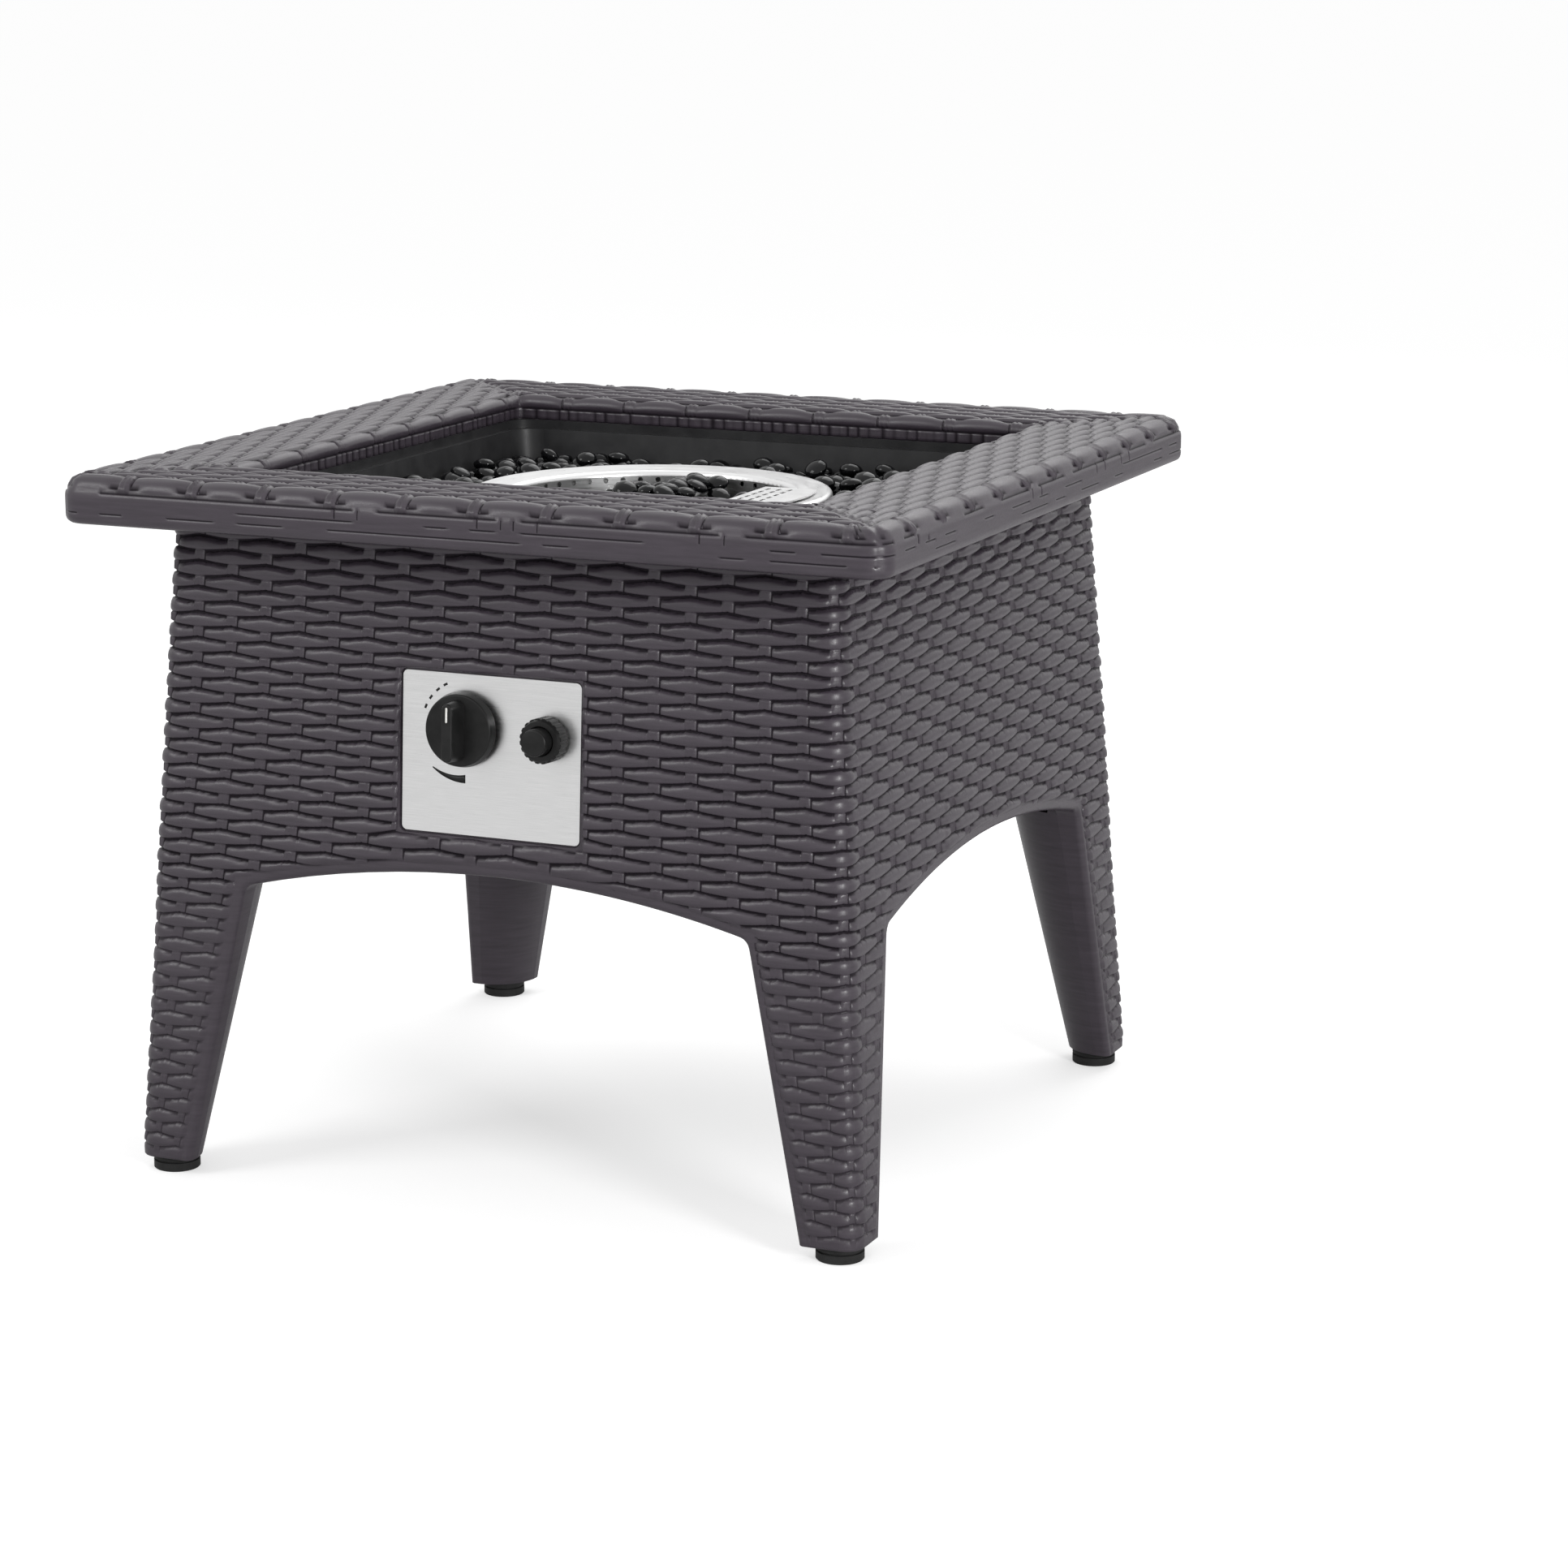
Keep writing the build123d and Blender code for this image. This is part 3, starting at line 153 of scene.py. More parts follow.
# Control panel, as in the solids
PANEL_CENTRE = 340.0
PANEL_FRONT = -1.5
HOLE_STAKE = 2.5
HOLE_ROWS = (28, 41)
HOLE_HALF = (73.3, 60.3)
KNOB = (-21.0, 19.0)
KNOB_BAR_FRONT = 28.0


def smoothstep(low, high, value):
    """0 below low, 1 above high and smooth between them."""
    share = np.clip((value - low) / (high - low), 0, 1)
    return share * share * (3 - 2 * share)


def new_mesh(name, points, faces, repair=True):
    """A mesh of points in millimetres; repair turns its faces outwards."""
    mesh = bpy.data.meshes.new(name)
    mesh.from_pydata((np.asarray(points, float) * MM).tolist(), [], faces)
    if repair:
        work = bmesh.new()
        work.from_mesh(mesh)
        bmesh.ops.recalc_face_normals(work, faces=work.faces)
        work.to_mesh(mesh)
        work.free()
    return mesh


def add_object(name, data):
    made = bpy.data.objects.new(name, data)
    bpy.context.scene.collection.objects.link(made)
    return made


def add_piece(name, mesh, body, slot):
    """An object of a mesh, riding on a body and finished as a slot of the record."""
    piece = add_object(name, mesh)
    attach(piece, body)
    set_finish(piece, slot)
    return piece


def make_piece(name, points, faces, body, slot, repair=True):
    """A smooth piece made of points in millimetres."""
    mesh = new_mesh(name, points, faces, repair)
    mesh.shade_smooth()
    return add_piece(name, mesh, body, slot)


def set_groove_shade(piece, values):
    """Say how deep in a gap of the weave each point lies, for the material to paint shade there."""
    layer = piece.data.attributes.new("groove_shade", "FLOAT", "POINT")
    layer.data.foreach_set("value", np.asarray(values, np.float32))


def quarter_turn(x, y, turns):
    """A point of the front side, moved to the side that many quarter turns on."""
    cos = np.array([1, 0, -1, 0])[turns]
    sin = np.array([0, 1, 0, -1])[turns]
    return x * cos - y * sin, x * sin + y * cos


def weave(stake, row, across, crest=FLOAT_CREST, stake_crest=STAKE_CREST, section=SHINGLE, block=BLOCK):
    """Height of the weave: a float over each even stake of the row, and a stake of two strands between."""
    over = 2 * np.round((stake + row) / 2) - row
    along = np.abs(stake - over)
    reach = np.where(stake < over, *FLOAT_REACH)
    bulge = FLOAT_END + (1 - FLOAT_END) * np.sqrt(np.clip(1 - (along / reach) ** 2.4, 0, 1))
    tapered = across * (1 + FLOAT_TAPER * np.clip(along / reach, 0, 1) ** 4)
    floats = crest * bulge * (along < reach) * np.interp(tapered, *section)
    beside = 1 - along
    one = np.clip(1 - (np.abs(beside - STAKE_STRAND) / (STAKE_HALF - STAKE_STRAND)) ** 2.4, 0, 1)
    pair = np.maximum(np.sqrt(one), 0.6 * (beside < STAKE_STRAND))
    return np.maximum(floats, stake_crest * pair * np.interp(across, *block))


# Base weave


def half_width(z):
    return APRON + FLARE * (RIM_FOOT - z)


def half_path(z):
    """Length along a face from its middle to the diagonal, round half of the corner."""
    return half_width(z) - BASE_CORNER + BASE_CORNER * QUARTER


def leg_edge(z):
    return GAP_HALF + (z - LEG_FOOT) * (ARCH_HALF - GAP_HALF) / (ARCH_END - LEG_FOOT)


def arch_line(x):
    rise = ARCH_TOP - ARCH_END
    radius = (ARCH_HALF**2 + rise**2) / (2 * rise)
    return ARCH_TOP - radius + np.sqrt(np.maximum(radius**2 - x**2, 0))


def stake_path(stake, z):
    """How far along the face a stake runs from the middle: it fans out to the arch and follows the leg."""
    high = np.maximum(z, ARCH_END)
    spread = PITCH * (1 + FAN * ((RIM_FOOT - high) / (RIM_FOOT - ARCH_END)) ** 2)
    count = np.abs(stake)
    last = LAST_STAKE * spread
    upper = np.where(
        count <= LAST_STAKE, count * spread, last + (count - LAST_STAKE) * (half_path(high) - last)
    )
    knee = half_path(ARCH_END)
    knee_edge = LEG_STAKE * PITCH * (1 + FAN)
    share = (knee - upper) / (knee - knee_edge)
    lower = half_path(z) - share * (half_path(z) - leg_edge(z) - EDGE_BAND)
    return np.sign(stake) * np.where(z < ARCH_END, lower, upper)


def base_surface(path, z, lift, turns):
    """Points at a lift above the base's flared face and its rounded corners."""
    straight = half_width(z) - BASE_CORNER
    bend = np.clip((np.abs(path) - straight) / BASE_CORNER, 0, QUARTER)
    side = np.sign(path)
    out = BASE_CORNER + lift * math.cos(TILT)
    x = side * (np.minimum(np.abs(path), straight) + out * np.sin(bend))
    y = -straight - out * np.cos(bend)
    x, y = quarter_turn(x, y, turns)
    return np.stack([x, y, z + lift * math.sin(TILT)], axis=-1)


def base_columns():
    """Stake count round the base of every column, then its side and its count from that side's middle."""
    around = np.array([n + step for n in range(4 * STAKES) for step in STAKE_STEPS])
    side = np.floor(around / STAKES).astype(int)
    return around, side % 4, around - STAKES * side - STAKES / 2


def opening_distance(path, z):
    """How far a point of a face is from the arch and the gap between the legs."""
    beyond = np.abs(path) - leg_edge(np.minimum(z, ARCH_END)) - EDGE_BAND
    above = z - arch_line(np.clip(np.abs(path), 0, ARCH_HALF)) - EDGE_BAND
    return np.hypot(np.maximum(beyond, 0), np.maximum(above, 0))


def panel_distance(path, z, front):
    """How far a point of the front face is from the panel's recess."""
    across = np.abs(path) - HOLE_HALF[0]
    up = np.abs(z - PANEL_CENTRE) - HOLE_HALF[1]
    return np.where(front, np.hypot(np.maximum(across, 0), np.maximum(up, 0)), FAR)


def panel_shift(count, line, front):
    """Moves the columns and rows beside the panel onto the edge of its hole."""
    low, high = HOLE_ROWS
    beside = np.clip(1 - np.abs(np.abs(count) - HOLE_STAKE), 0, 1)
    level = np.clip(1 - np.maximum(np.maximum(low - line, line - high), 0) / 2, 0, 1)
    across = np.clip(1 - np.maximum(np.abs(count) - HOLE_STAKE, 0), 0, 1)
    middle = PANEL_CENTRE - FIRST_ROW
    rise = (middle - HOLE_HALF[1] - low * ROW) * np.clip(1 - np.abs(line - low) / 2, 0, 1)
    rise += (middle + HOLE_HALF[1] - high * ROW) * np.clip(1 - np.abs(line - high) / 2, 0, 1)
    edge = stake_path(HOLE_STAKE, np.array(PANEL_CENTRE))
    return front * np.sign(count) * (HOLE_HALF[0] - edge) * beside * level, front * rise * across


def make_base_weave():
    """Relief of the base: rows of floats over the stakes of four faces, open at the arches and the panel."""
    rng = np.random.default_rng(4)
    around, side, count = base_columns()
    line = np.array([row + step for row in range(ROWS) for step in STRAND_STEPS] + [float(ROWS)])
    row = np.minimum(line.astype(int), ROWS - 1)
    across = line - row
    front = (side == 0)[:, None]
    grid_count, grid_line = np.meshgrid(count, line, indexing="ij")
    slide, rise = panel_shift(grid_count, grid_line, front)
    z = FIRST_ROW + ROW * grid_line + rise
    path = stake_path(grid_count, z) + slide

    # the weave dies out towards the arches, the legs' ends and the panel
    clear = opening_distance(path, z)
    shown = smoothstep(1, EDGE_FADE, clear) * smoothstep(*FOOT_FADE, z)
    shown *= PANEL_SHOWN + (1 - PANEL_SHOWN) * smoothstep(0, PANEL_FADE, panel_distance(path, z, front))

    # the lower edge of a row hangs in a broad bow under each float, and no two are quite alike
    stakes = 4 * STAKES
    uneven = rng.normal(0, ROW_JITTER, (stakes, ROWS + 1))
    whole = np.floor(around).astype(int)
    part = (around - whole)[:, None]
    edge = np.arange(ROWS + 1)
    bow = np.abs(around[:, None] - edge - 2 * np.round((around[:, None] - edge) / 2))
    wave = ROW_WAVE * (2 * bow**ROW_SAG - 1)
    wave += uneven[whole % stakes] * (1 - part) + uneven[(whole + 1) % stakes] * part
    ragged = rng.normal(0, TOP_RAGGED, (len(around), ROWS))[:, row] * (across > 0.7)
    z = z + shown * (wave[:, row] * (1 - across) + wave[:, row + 1] * across + ragged)
    path = stake_path(grid_count, z) + slide

    crest = 1 + rng.normal(0, CREST_JITTER, (stakes, ROWS))[np.round(around).astype(int) % stakes][:, row]
    leg = LEG_RELIEF + (1 - LEG_RELIEF) * smoothstep(*LEG_FADE, z - ARCH_END)
    relief = weave(around[:, None], row[None, :], across[None, :])
    seam = across == 0
    relief[:, seam] = np.maximum(relief[:, seam], weave(around[:, None], row[seam][None, :] - 1, 1.0))
    relief = GAP_LIFT + relief * crest * leg
    lift = shown * relief + (1 - shown) * PLAIN_LIFT
    lift = EDGE_SINK + (lift - EDGE_SINK) * smoothstep(0, EDGE_SLOPE, clear)
    lift[:, 0] = EDGE_SINK
    # painted shade: how far down in a gap of the weave each point lies, for the material to darken
    groove_shade = shown * leg * np.clip((GROOVE_SHADE_TOP - relief / leg) / GROOVE_SHADE_REACH, 0, 1)

    # lowest kept line of every column: the arch cuts the columns between the legs
    arched = np.abs(count) < LEG_STAKE - NEAR
    border = arch_line(path) + EDGE_BAND
    first = np.where(arched, np.argmax(z > border + ARCH_CLEAR, axis=1) - 1, 0)
    at = np.arange(len(count))
    z[at[arched], first[arched]] = border[at[arched], first[arched]]
    lift[at[arched], first[arched]] = EDGE_SINK

    low, high = (n * len(STRAND_STEPS) for n in HOLE_ROWS)
    in_hole = (side == 0) & (np.abs(count) < HOLE_STAKE + NEAR)
    rim = in_hole & (np.abs(np.abs(count) - HOLE_STAKE) < NEAR)
    lift[rim, low : high + 1] = EDGE_SINK
    lift[in_hole, low] = EDGE_SINK
    lift[in_hole, high] = EDGE_SINK

    points = base_surface(path, z, lift, side[:, None])
    knee = int(first[arched].min())
    above = low - len(STRAND_STEPS)
    stops = sorted({*range(0, knee, BACK_STEP), knee, above, low, high, len(line) - 1})
    stops = [stop for stop in stops if stop <= knee or stop >= above]
    return close_base_weave(points, path, z, groove_shade, side, count, arched, first, stops, (low, high))


def close_base_weave(points, path, z, groove_shade, side, count, arched, first, stops, hole):
    """Joins the relief to a flat back inside the base's wall, so that it is a closed shell."""
    columns, lines = z.shape
    back_rows = np.maximum(np.array(stops)[None, :], first[:, None])
    at = np.arange(columns)[:, None]
    back_points = base_surface(path[at, back_rows], z[at, back_rows], BACK_SINK, side[:, None])
    all_points = np.concatenate([points.reshape(-1, 3), back_points.reshape(-1, 3)])

    def fore(column, line):
        return (column % columns) * lines + max(line, first[column % columns])

    def back(column, stop):
        return columns * lines + (column % columns) * len(stops) + stop

    faces = []

    def add(*corners):
        kept = [c for c, before in zip(corners, (corners[-1], *corners[:-1])) if c != before]
        if len(set(kept)) > 2:
            faces.append(kept)

    knee = stops.index(int(first[arched].min()))
    low, high = hole
    for column in range(columns):
        after = (column + 1) % columns
        pair = [c for c in (column, after) if arched[c]]
        start = min(first[c] for c in pair) if pair else 0
        panelled = side[column] == 0 and abs(count[column]) < HOLE_STAKE + NEAR
        panelled = panelled and side[after] == 0 and abs(count[after]) < HOLE_STAKE + NEAR
        for line in range(start, lines - 1):
            if not (panelled and low <= line < high):
                add(fore(column, line), fore(after, line), fore(after, line + 1), fore(column, line + 1))
        for stop in range(knee if pair else 0, len(stops) - 1):
            if not (panelled and low <= stops[stop] < high):
                add(back(column, stop), back(column, stop + 1), back(after, stop + 1), back(after, stop))
        first_stop = knee if pair else 0
        if len(pair) == 1:
            foot = first[pair[0]]
            add(fore(column, foot), back(column, knee), back(after, knee), fore(after, foot))
        else:
            add(fore(column, start), back(column, first_stop), back(after, first_stop), fore(after, start))
        last = len(stops) - 1
        add(fore(column, lines - 1), fore(after, lines - 1), back(after, last), back(column, last))
        if panelled:
            for edge in (low, high):
                stop = stops.index(edge)
                add(fore(column, edge), fore(after, edge), back(after, stop), back(column, stop))
        if len(pair) == 1:
            leg = column if arched[after] else after
            for stop in range(knee):
                strip = [fore(leg, line) for line in range(stops[stop], stops[stop + 1] + 1)]
                add(*strip, back(leg, stop + 1), back(leg, stop))
            add(*(fore(leg, line) for line in range(stops[knee], first[pair[0]] + 1)), back(leg, knee))
        if side[column] == 0 and abs(abs(count[column]) - HOLE_STAKE) < NEAR:
            strip = [fore(column, line) for line in range(low, high + 1)]
            add(*strip, back(column, stops.index(high)), back(column, stops.index(low)))

    used = np.unique(np.concatenate([np.asarray(face) for face in faces]))
    order = np.zeros(len(all_points), int)
    order[used] = np.arange(len(used))
    kept = [order[face].tolist() for face in faces]
    piece = make_piece("base_weave", all_points[used], kept, "table", "moulding")
    set_groove_shade(piece, np.concatenate([groove_shade.ravel(), np.zeros(back_rows.size)])[used])
    return piece


# Legs

LEG_ROUND = 0.75
LEG_RISE = 0.31
LEG_FILL = (62.0, 222.0)
LEG_CUT = (7.0, 20.0, 60.0, 110.0, 160.0, 205.0, 245.0)
CORE_INSET = (0.3, 5.0)
CUT_CLEAR = 5.0
ARC_STEPS = 12
SHARP = 35.0
SAME_PLACE = 1e-6


def leg_core(z):
    """Corners of a leg's section, a little inside its faces."""
    near, far = leg_edge(z) + CORE_INSET[0], half_width(z) - CORE_INSET[1]
    return [(near, near), (far, near), (far, far), (near, far)]


def leg_hollow(z):
    """Outline of what rounding takes off the inner corner of a leg."""
    near = leg_edge(z)
    far = near + LEG_ROUND * (half_width(z) - near)
    middle = near + LEG_RISE * (far - near)
    clear = near - CUT_CLEAR
    control = 2 * middle - (near + far) / 2
    shares = [n / ARC_STEPS for n in range(ARC_STEPS + 1)]
    arc = [
        (
            (1 - s) ** 2 * far + 2 * s * (1 - s) * control + s * s * near,
            (1 - s) ** 2 * near + 2 * s * (1 - s) * control + s * s * far,
        )
        for s in shares
    ]
    return [*arc, (clear, far), (clear, clear), (far, clear)]


def leg_tools(name, outline, heights):
    """A solid at each of the four legs, lofted through an outline at several heights."""
    count = len(outline(heights[0]))
    points, faces = [], []
    for turns in range(4):
        base = len(points)
        for z in heights:
            points += [(*quarter_turn(x, y, turns), z) for x, y in outline(z)]
        faces.append([base + n for n in range(count)])
        faces.append([base + (len(heights) - 1) * count + n for n in range(count)])
        for level in range(len(heights) - 1):
            low = base + level * count
            for n in range(count):
                after = (n + 1) % count
                faces.append((low + n, low + after, low + count + after, low + count + n))
    return add_object(name, new_mesh(name, points, faces))


def make_base_shell():
    """The base with its legs closed inside and their inner corners rounded."""
    mesh = frame["nodes"]["base"].data.copy()
    work = bmesh.new()
    work.from_mesh(mesh)
    bmesh.ops.remove_doubles(work, verts=work.verts, dist=SAME_PLACE)
    work.to_mesh(mesh)
    work.free()
    if "custom_normal" in mesh.attributes:
        mesh.attributes.remove(mesh.attributes["custom_normal"])
    source = add_object("base_source", mesh)
    tools = [leg_tools("leg_fill", leg_core, LEG_FILL), leg_tools("leg_cut", leg_hollow, LEG_CUT)]
    for tool, operation in zip(tools, ("UNION", "DIFFERENCE")):
        change = source.modifiers.new(tool.name, "BOOLEAN")
        change.object, change.operation, change.solver = tool, operation, "EXACT"
    bpy.context.view_layer.update()
    made = bpy.data.meshes.new_from_object(source.evaluated_get(bpy.context.evaluated_depsgraph_get()))
    for used in (source, *tools):
        bpy.data.objects.remove(used)
    made.shade_smooth()
    made.set_sharp_from_angle(angle=math.radians(SHARP))
    shell = add_piece("base_shell", made, "table", "moulding")
    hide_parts("base")
    return shell


# Rim weave

RIM_END_STEPS = 60
RIM_STAKES = 8
WEAVE_ROWS = 7
RIM_BANDS = (
    ("lip", 0.0),
    ("roll", 9.0),
    *(("weave", 24.0 + 68.0 / WEAVE_ROWS * n) for n in range(WEAVE_ROWS)),
    ("edge", 92.0),
    ("low", 112.0),
    ("plain", 120.0),
    ("plain", 127.0),
    ("turn", 134.0),
)
RIM_CRESTS = {"weave": (3.2, 2.4, ROUND), "roll": (3.0, 2.2, ROUND), "edge": (3.3, 3.4, BLOCK)}
RIM_WAVE = 0.9
RIM_FIRST = 11.5
RIM_PLAIN = 0.6
# Painted shade in the gaps of the rim's relief: none above the first lift, full at the second reach below it
RIM_GROOVE_SHADE_TOP = 1.25
RIM_GROOVE_SHADE_REACH = 0.8
MITRE_FADE = 4.0
MITRE_SHOWN = 0.3
LIP_CREST = 2.0
LIP_STRANDS = 3
FACE_LIFT = 1.3
CRACK_DEPTH = 1.0
CRACK_CELLS = 1.5
CRACK_STEP = 0.7
CRACK_SHARE = {"edge": 0.5, "low": 0.8, "plain": 0.5}
TICK_DEPTH = 0.9
TICK_SHARE = 0.25
TICK_PLACE = 0.172
RIM_BACK_STATIONS = (0.0, 11.0, 14.7, 18.3, 22.0, 95.0, 102.3, 109.7, 117.0, 130.0, 134.7)


def rim_section(along):
    """Distance out, height and facing of the top's section, from the lip's foot over to the rim's foot."""
    runs = (
        TOP - LIP_ROUND - LIP_FOOT,
        LIP_ROUND * math.pi / 2,
        RIM - RIM_ROUND - LIP - LIP_ROUND,
        RIM_ROUND * math.pi / 2,
        TOP - RIM_ROUND - RIM_FOOT - RIM_TURN,
    )
    ends = np.cumsum(runs)
    on = [along < end for end in ends]
    turn = np.maximum(-(along - ends[4]) / RIM_TURN, -math.pi / 2)
    facing = np.select(
        on,
        [
            math.pi,
            math.pi - (along - ends[0]) / LIP_ROUND,
            math.pi / 2,
            math.pi / 2 - (along - ends[2]) / RIM_ROUND,
            0,
        ],
        turn,
    )
    out = np.select(
        on,
        [
            LIP,
            LIP + LIP_ROUND + LIP_ROUND * np.cos(facing),
            LIP + LIP_ROUND + along - ends[1],
            RIM - RIM_ROUND + RIM_ROUND * np.cos(facing),
            RIM,
        ],
        RIM - RIM_TURN + RIM_TURN * np.cos(facing),
    )
    height = np.select(
        on,
        [
            LIP_FOOT + along,
            TOP - LIP_ROUND + LIP_ROUND * np.sin(facing),
            TOP,
            TOP - RIM_ROUND + RIM_ROUND * np.sin(facing),
            TOP - RIM_ROUND - (along - ends[3]),
        ],
        RIM_FOOT + RIM_TURN + RIM_TURN * np.sin(facing),
    )
    return out, height, facing, ends[4] + RIM_TURN * math.pi / 2


def rim_corner(out):
    """Corner radius of the top's plan at a distance out."""
    return np.interp(
        out,
        [LIP, LIP + LIP_ROUND, RIM - RIM_ROUND, RIM],
        [LIP_CORNER, LIP_CORNER + LIP_ROUND, RIM_CORNER - RIM_ROUND, RIM_CORNER],
    )


def rim_columns():
    """Side, stake count and share of the mitred end of every column round the rim."""
    straight = [n + step + 0.5 for n in range(-RIM_STAKES, RIM_STAKES) for step in STAKE_STEPS]
    straight = [-float(RIM_STAKES), *straight]
    ends = [n / RIM_END_STEPS for n in range(1, RIM_END_STEPS + 1)]
    one = [(-RIM_STAKES, -share) for share in reversed(ends)]
    one += [(count, 0.0) for count in straight]
    one += [(RIM_STAKES, share) for share in ends[:-1]]
    side = np.repeat(np.arange(4), len(one))
    count, share = np.array(one * 4).T
    return side, count, share


def rim_path(count, share, out):
    """How far along its side a column runs at a distance out: straight, then fanned into the mitre."""
    corner = rim_corner(out)
    reach = out - corner + corner * QUARTER
    return count * PITCH + share * (reach - RIM_STAKES * PITCH), reach


def rim_surface(path, out, height, facing, lift, turns):
    """Points at a lift above the top's section, swept round its rounded corners."""
    corner = rim_corner(out)
    straight = out - corner
    bend = np.where(corner > NEAR, np.clip((np.abs(path) - straight) / corner, 0, QUARTER), 0)
    radius = corner + lift * np.cos(facing)
    x = np.sign(path) * (np.minimum(np.abs(path), straight) + radius * np.sin(bend))
    y = -straight - radius * np.cos(bend)
    x, y = quarter_turn(x, y, turns)
    return np.stack(np.broadcast_arrays(x, y, height + lift * np.sin(facing)), axis=-1)


def rim_relief(name, row, rng, side, stake, across):
    """Height of one band of the rim's relief."""
    if name in RIM_CRESTS:
        crest, stake_crest, block = RIM_CRESTS[name]
        return weave(stake, row, across, crest, stake_crest, ROUND, block)
    if name == "lip":
        strands = LIP_STRANDS * stake + 0.25 * np.sin(2.3 * stake + 1.7 * side[:, None])
        thick = rng.uniform(0.65, 1.0, (4, 128))[side[:, None], np.floor(strands).astype(int) % 128]
        return LIP_CREST * thick * np.abs(np.sin(np.pi * strands)) ** 0.6 * smoothstep(0, 0.1, across)
    if name == "turn":
        return FACE_LIFT * (1 - across)
    if name == "plain":
        return FACE_LIFT + np.zeros(stake.shape)
    cell = np.floor(stake).astype(int) % 32
    gap = np.abs(np.abs(stake - np.round(stake)) - TICK_PLACE) < NEAR
    ticks = gap * (rng.random((4, 32)) < TICK_SHARE)[side[:, None], cell]
    return FACE_LIFT - TICK_DEPTH * ticks


def make_rim_weave():
    """Relief of the table top, from the lip round the opening over to the foot of the rim."""
    rng = np.random.default_rng(9)
    side, count, share = rim_columns()
    bounds = np.array([start for _, start in RIM_BANDS] + [rim_section(np.array(0.0))[3]])
    woven = np.array([a[0] == "weave" or b[0] == "weave" for a, b in zip(RIM_BANDS, RIM_BANDS[1:])])
    woven = np.concatenate([[False], woven, [False]])
    band = np.array([n for n in range(len(RIM_BANDS)) for _ in STRAND_STEPS] + [len(RIM_BANDS) - 1])
    across = np.array([*STRAND_STEPS] * len(RIM_BANDS) + [1.0])

    flat_path, _ = rim_path(count, share, np.full(len(count), RIM))
    stake = flat_path / PITCH + RIM_FIRST
    wave = -RIM_WAVE * np.cos(np.pi * stake)[:, None] * (-1.0) ** np.arange(len(bounds)) * woven
    wave *= (np.abs(share) < 0.98)[:, None]
    edges = bounds + wave
    along = edges[:, band] * (1 - across) + edges[:, band + 1] * across
    out, height, facing, _ = rim_section(along)
    path, reach = rim_path(count[:, None], share[:, None], out)
    stake = path / PITCH + RIM_FIRST

    lift = np.zeros(along.shape)
    for n, (name, _) in enumerate(RIM_BANDS):
        lines = band == n
        lift[:, lines] = rim_relief(name, n, rng, side, stake[:, lines], across[lines][None, :])
    for n, (name, _) in enumerate(RIM_BANDS):
        if name in CRACK_SHARE:
            line = n * len(STRAND_STEPS)
            cell = np.floor(stake[:, line] * CRACK_CELLS).astype(int) % 64
            torn = (rng.random((4, 64)) < CRACK_SHARE[name])[side, cell]
            lift[:, line] = FACE_LIFT - CRACK_DEPTH * torn
            if name != "edge":
                lift[:, line + 1] -= CRACK_STEP * CRACK_DEPTH * torn
            lift[:, line - 1] = np.maximum(lift[:, line - 1], FACE_LIFT * (name != "edge"))
    mitre = smoothstep(0, MITRE_FADE, reach - np.abs(path))
    # painted shade in the gaps of the rim's relief, faded out towards the mitres
    groove_shade = mitre * np.clip((RIM_GROOVE_SHADE_TOP - lift) / RIM_GROOVE_SHADE_REACH, 0, 1)
    lift = RIM_PLAIN + (lift - RIM_PLAIN) * (MITRE_SHOWN + (1 - MITRE_SHOWN) * mitre)
    lift[:, 0] = EDGE_SINK
    lift[:, -1] = EDGE_SINK
    points = rim_surface(path, out, height, facing, lift, side[:, None])

    end = rim_section(np.array(0.0))[3]
    stations = np.array([*RIM_BACK_STATIONS, end])
    back_out, back_height, back_facing, _ = rim_section(stations)
    back_path, _ = rim_path(count[:, None], share[:, None], back_out[None, :])
    back = rim_surface(back_path, back_out, back_height, back_facing, BACK_SINK, side[:, None])
    return close_rim_weave(points, back, groove_shade)


def close_rim_weave(points, back, groove_shade):
    """Joins the relief and its back into one closed ring."""
    loop = np.concatenate([points, back[:, ::-1]], axis=1)
    columns, lines = loop.shape[:2]
    column, line = (a.ravel() for a in np.meshgrid(np.arange(columns), np.arange(lines), indexing="ij"))
    after, above = (column + 1) % columns, (line + 1) % lines
    faces = np.stack(
        [column * lines + line, after * lines + line, after * lines + above, column * lines + above], axis=1
    )
    piece = make_piece("rim_weave", loop.reshape(-1, 3), faces.tolist(), "table", "moulding")
    set_groove_shade(piece, np.concatenate([groove_shade, np.zeros(back.shape[:2])], axis=1).ravel())
    return piece


# Panel


def panel_point(x, y, out):
    """A place on the front face: across, up the face and out of it, from the panel's middle."""
    middle = (0, -half_width(PANEL_CENTRE), PANEL_CENTRE)
    return (
        middle[0] + x,
        middle[1] + y * math.sin(TILT) - out * math.cos(TILT),
        middle[2] + y * math.cos(TILT) + out * math.sin(TILT),
    )


def plate(outline, low, high, place):
    """Points and faces of a thin plate with that outline."""
    count = len(outline)
    points = [place(x, y, low) for x, y in outline] + [place(x, y, high) for x, y in outline]
    sides = [(n, (n + 1) % count, count + (n + 1) % count, count + n) for n in range(count)]
    return points, [tuple(reversed(range(count))), tuple(range(count, 2 * count)), *sides]


def join_plates(plates):
    points, faces = [], []
    for more, shapes in plates:
        faces += [tuple(n + len(points) for n in face) for face in shapes]
        points += more
    return points, faces


def arc_outline(start, end, inner, outer, steps):
    """Outline of a curved stroke round the knob; inner and outer give its radii at a share of its length."""
    shares = [n / steps for n in range(steps + 1)]
    angles = [math.radians(start + (end - start) * share) for share in shares]

    def side(radius):
        return [
            (KNOB[0] + radius(share) * math.cos(angle), KNOB[1] + radius(share) * math.sin(angle))
            for share, angle in zip(shares, angles)
        ]

    return side(outer) + side(inner)[::-1]


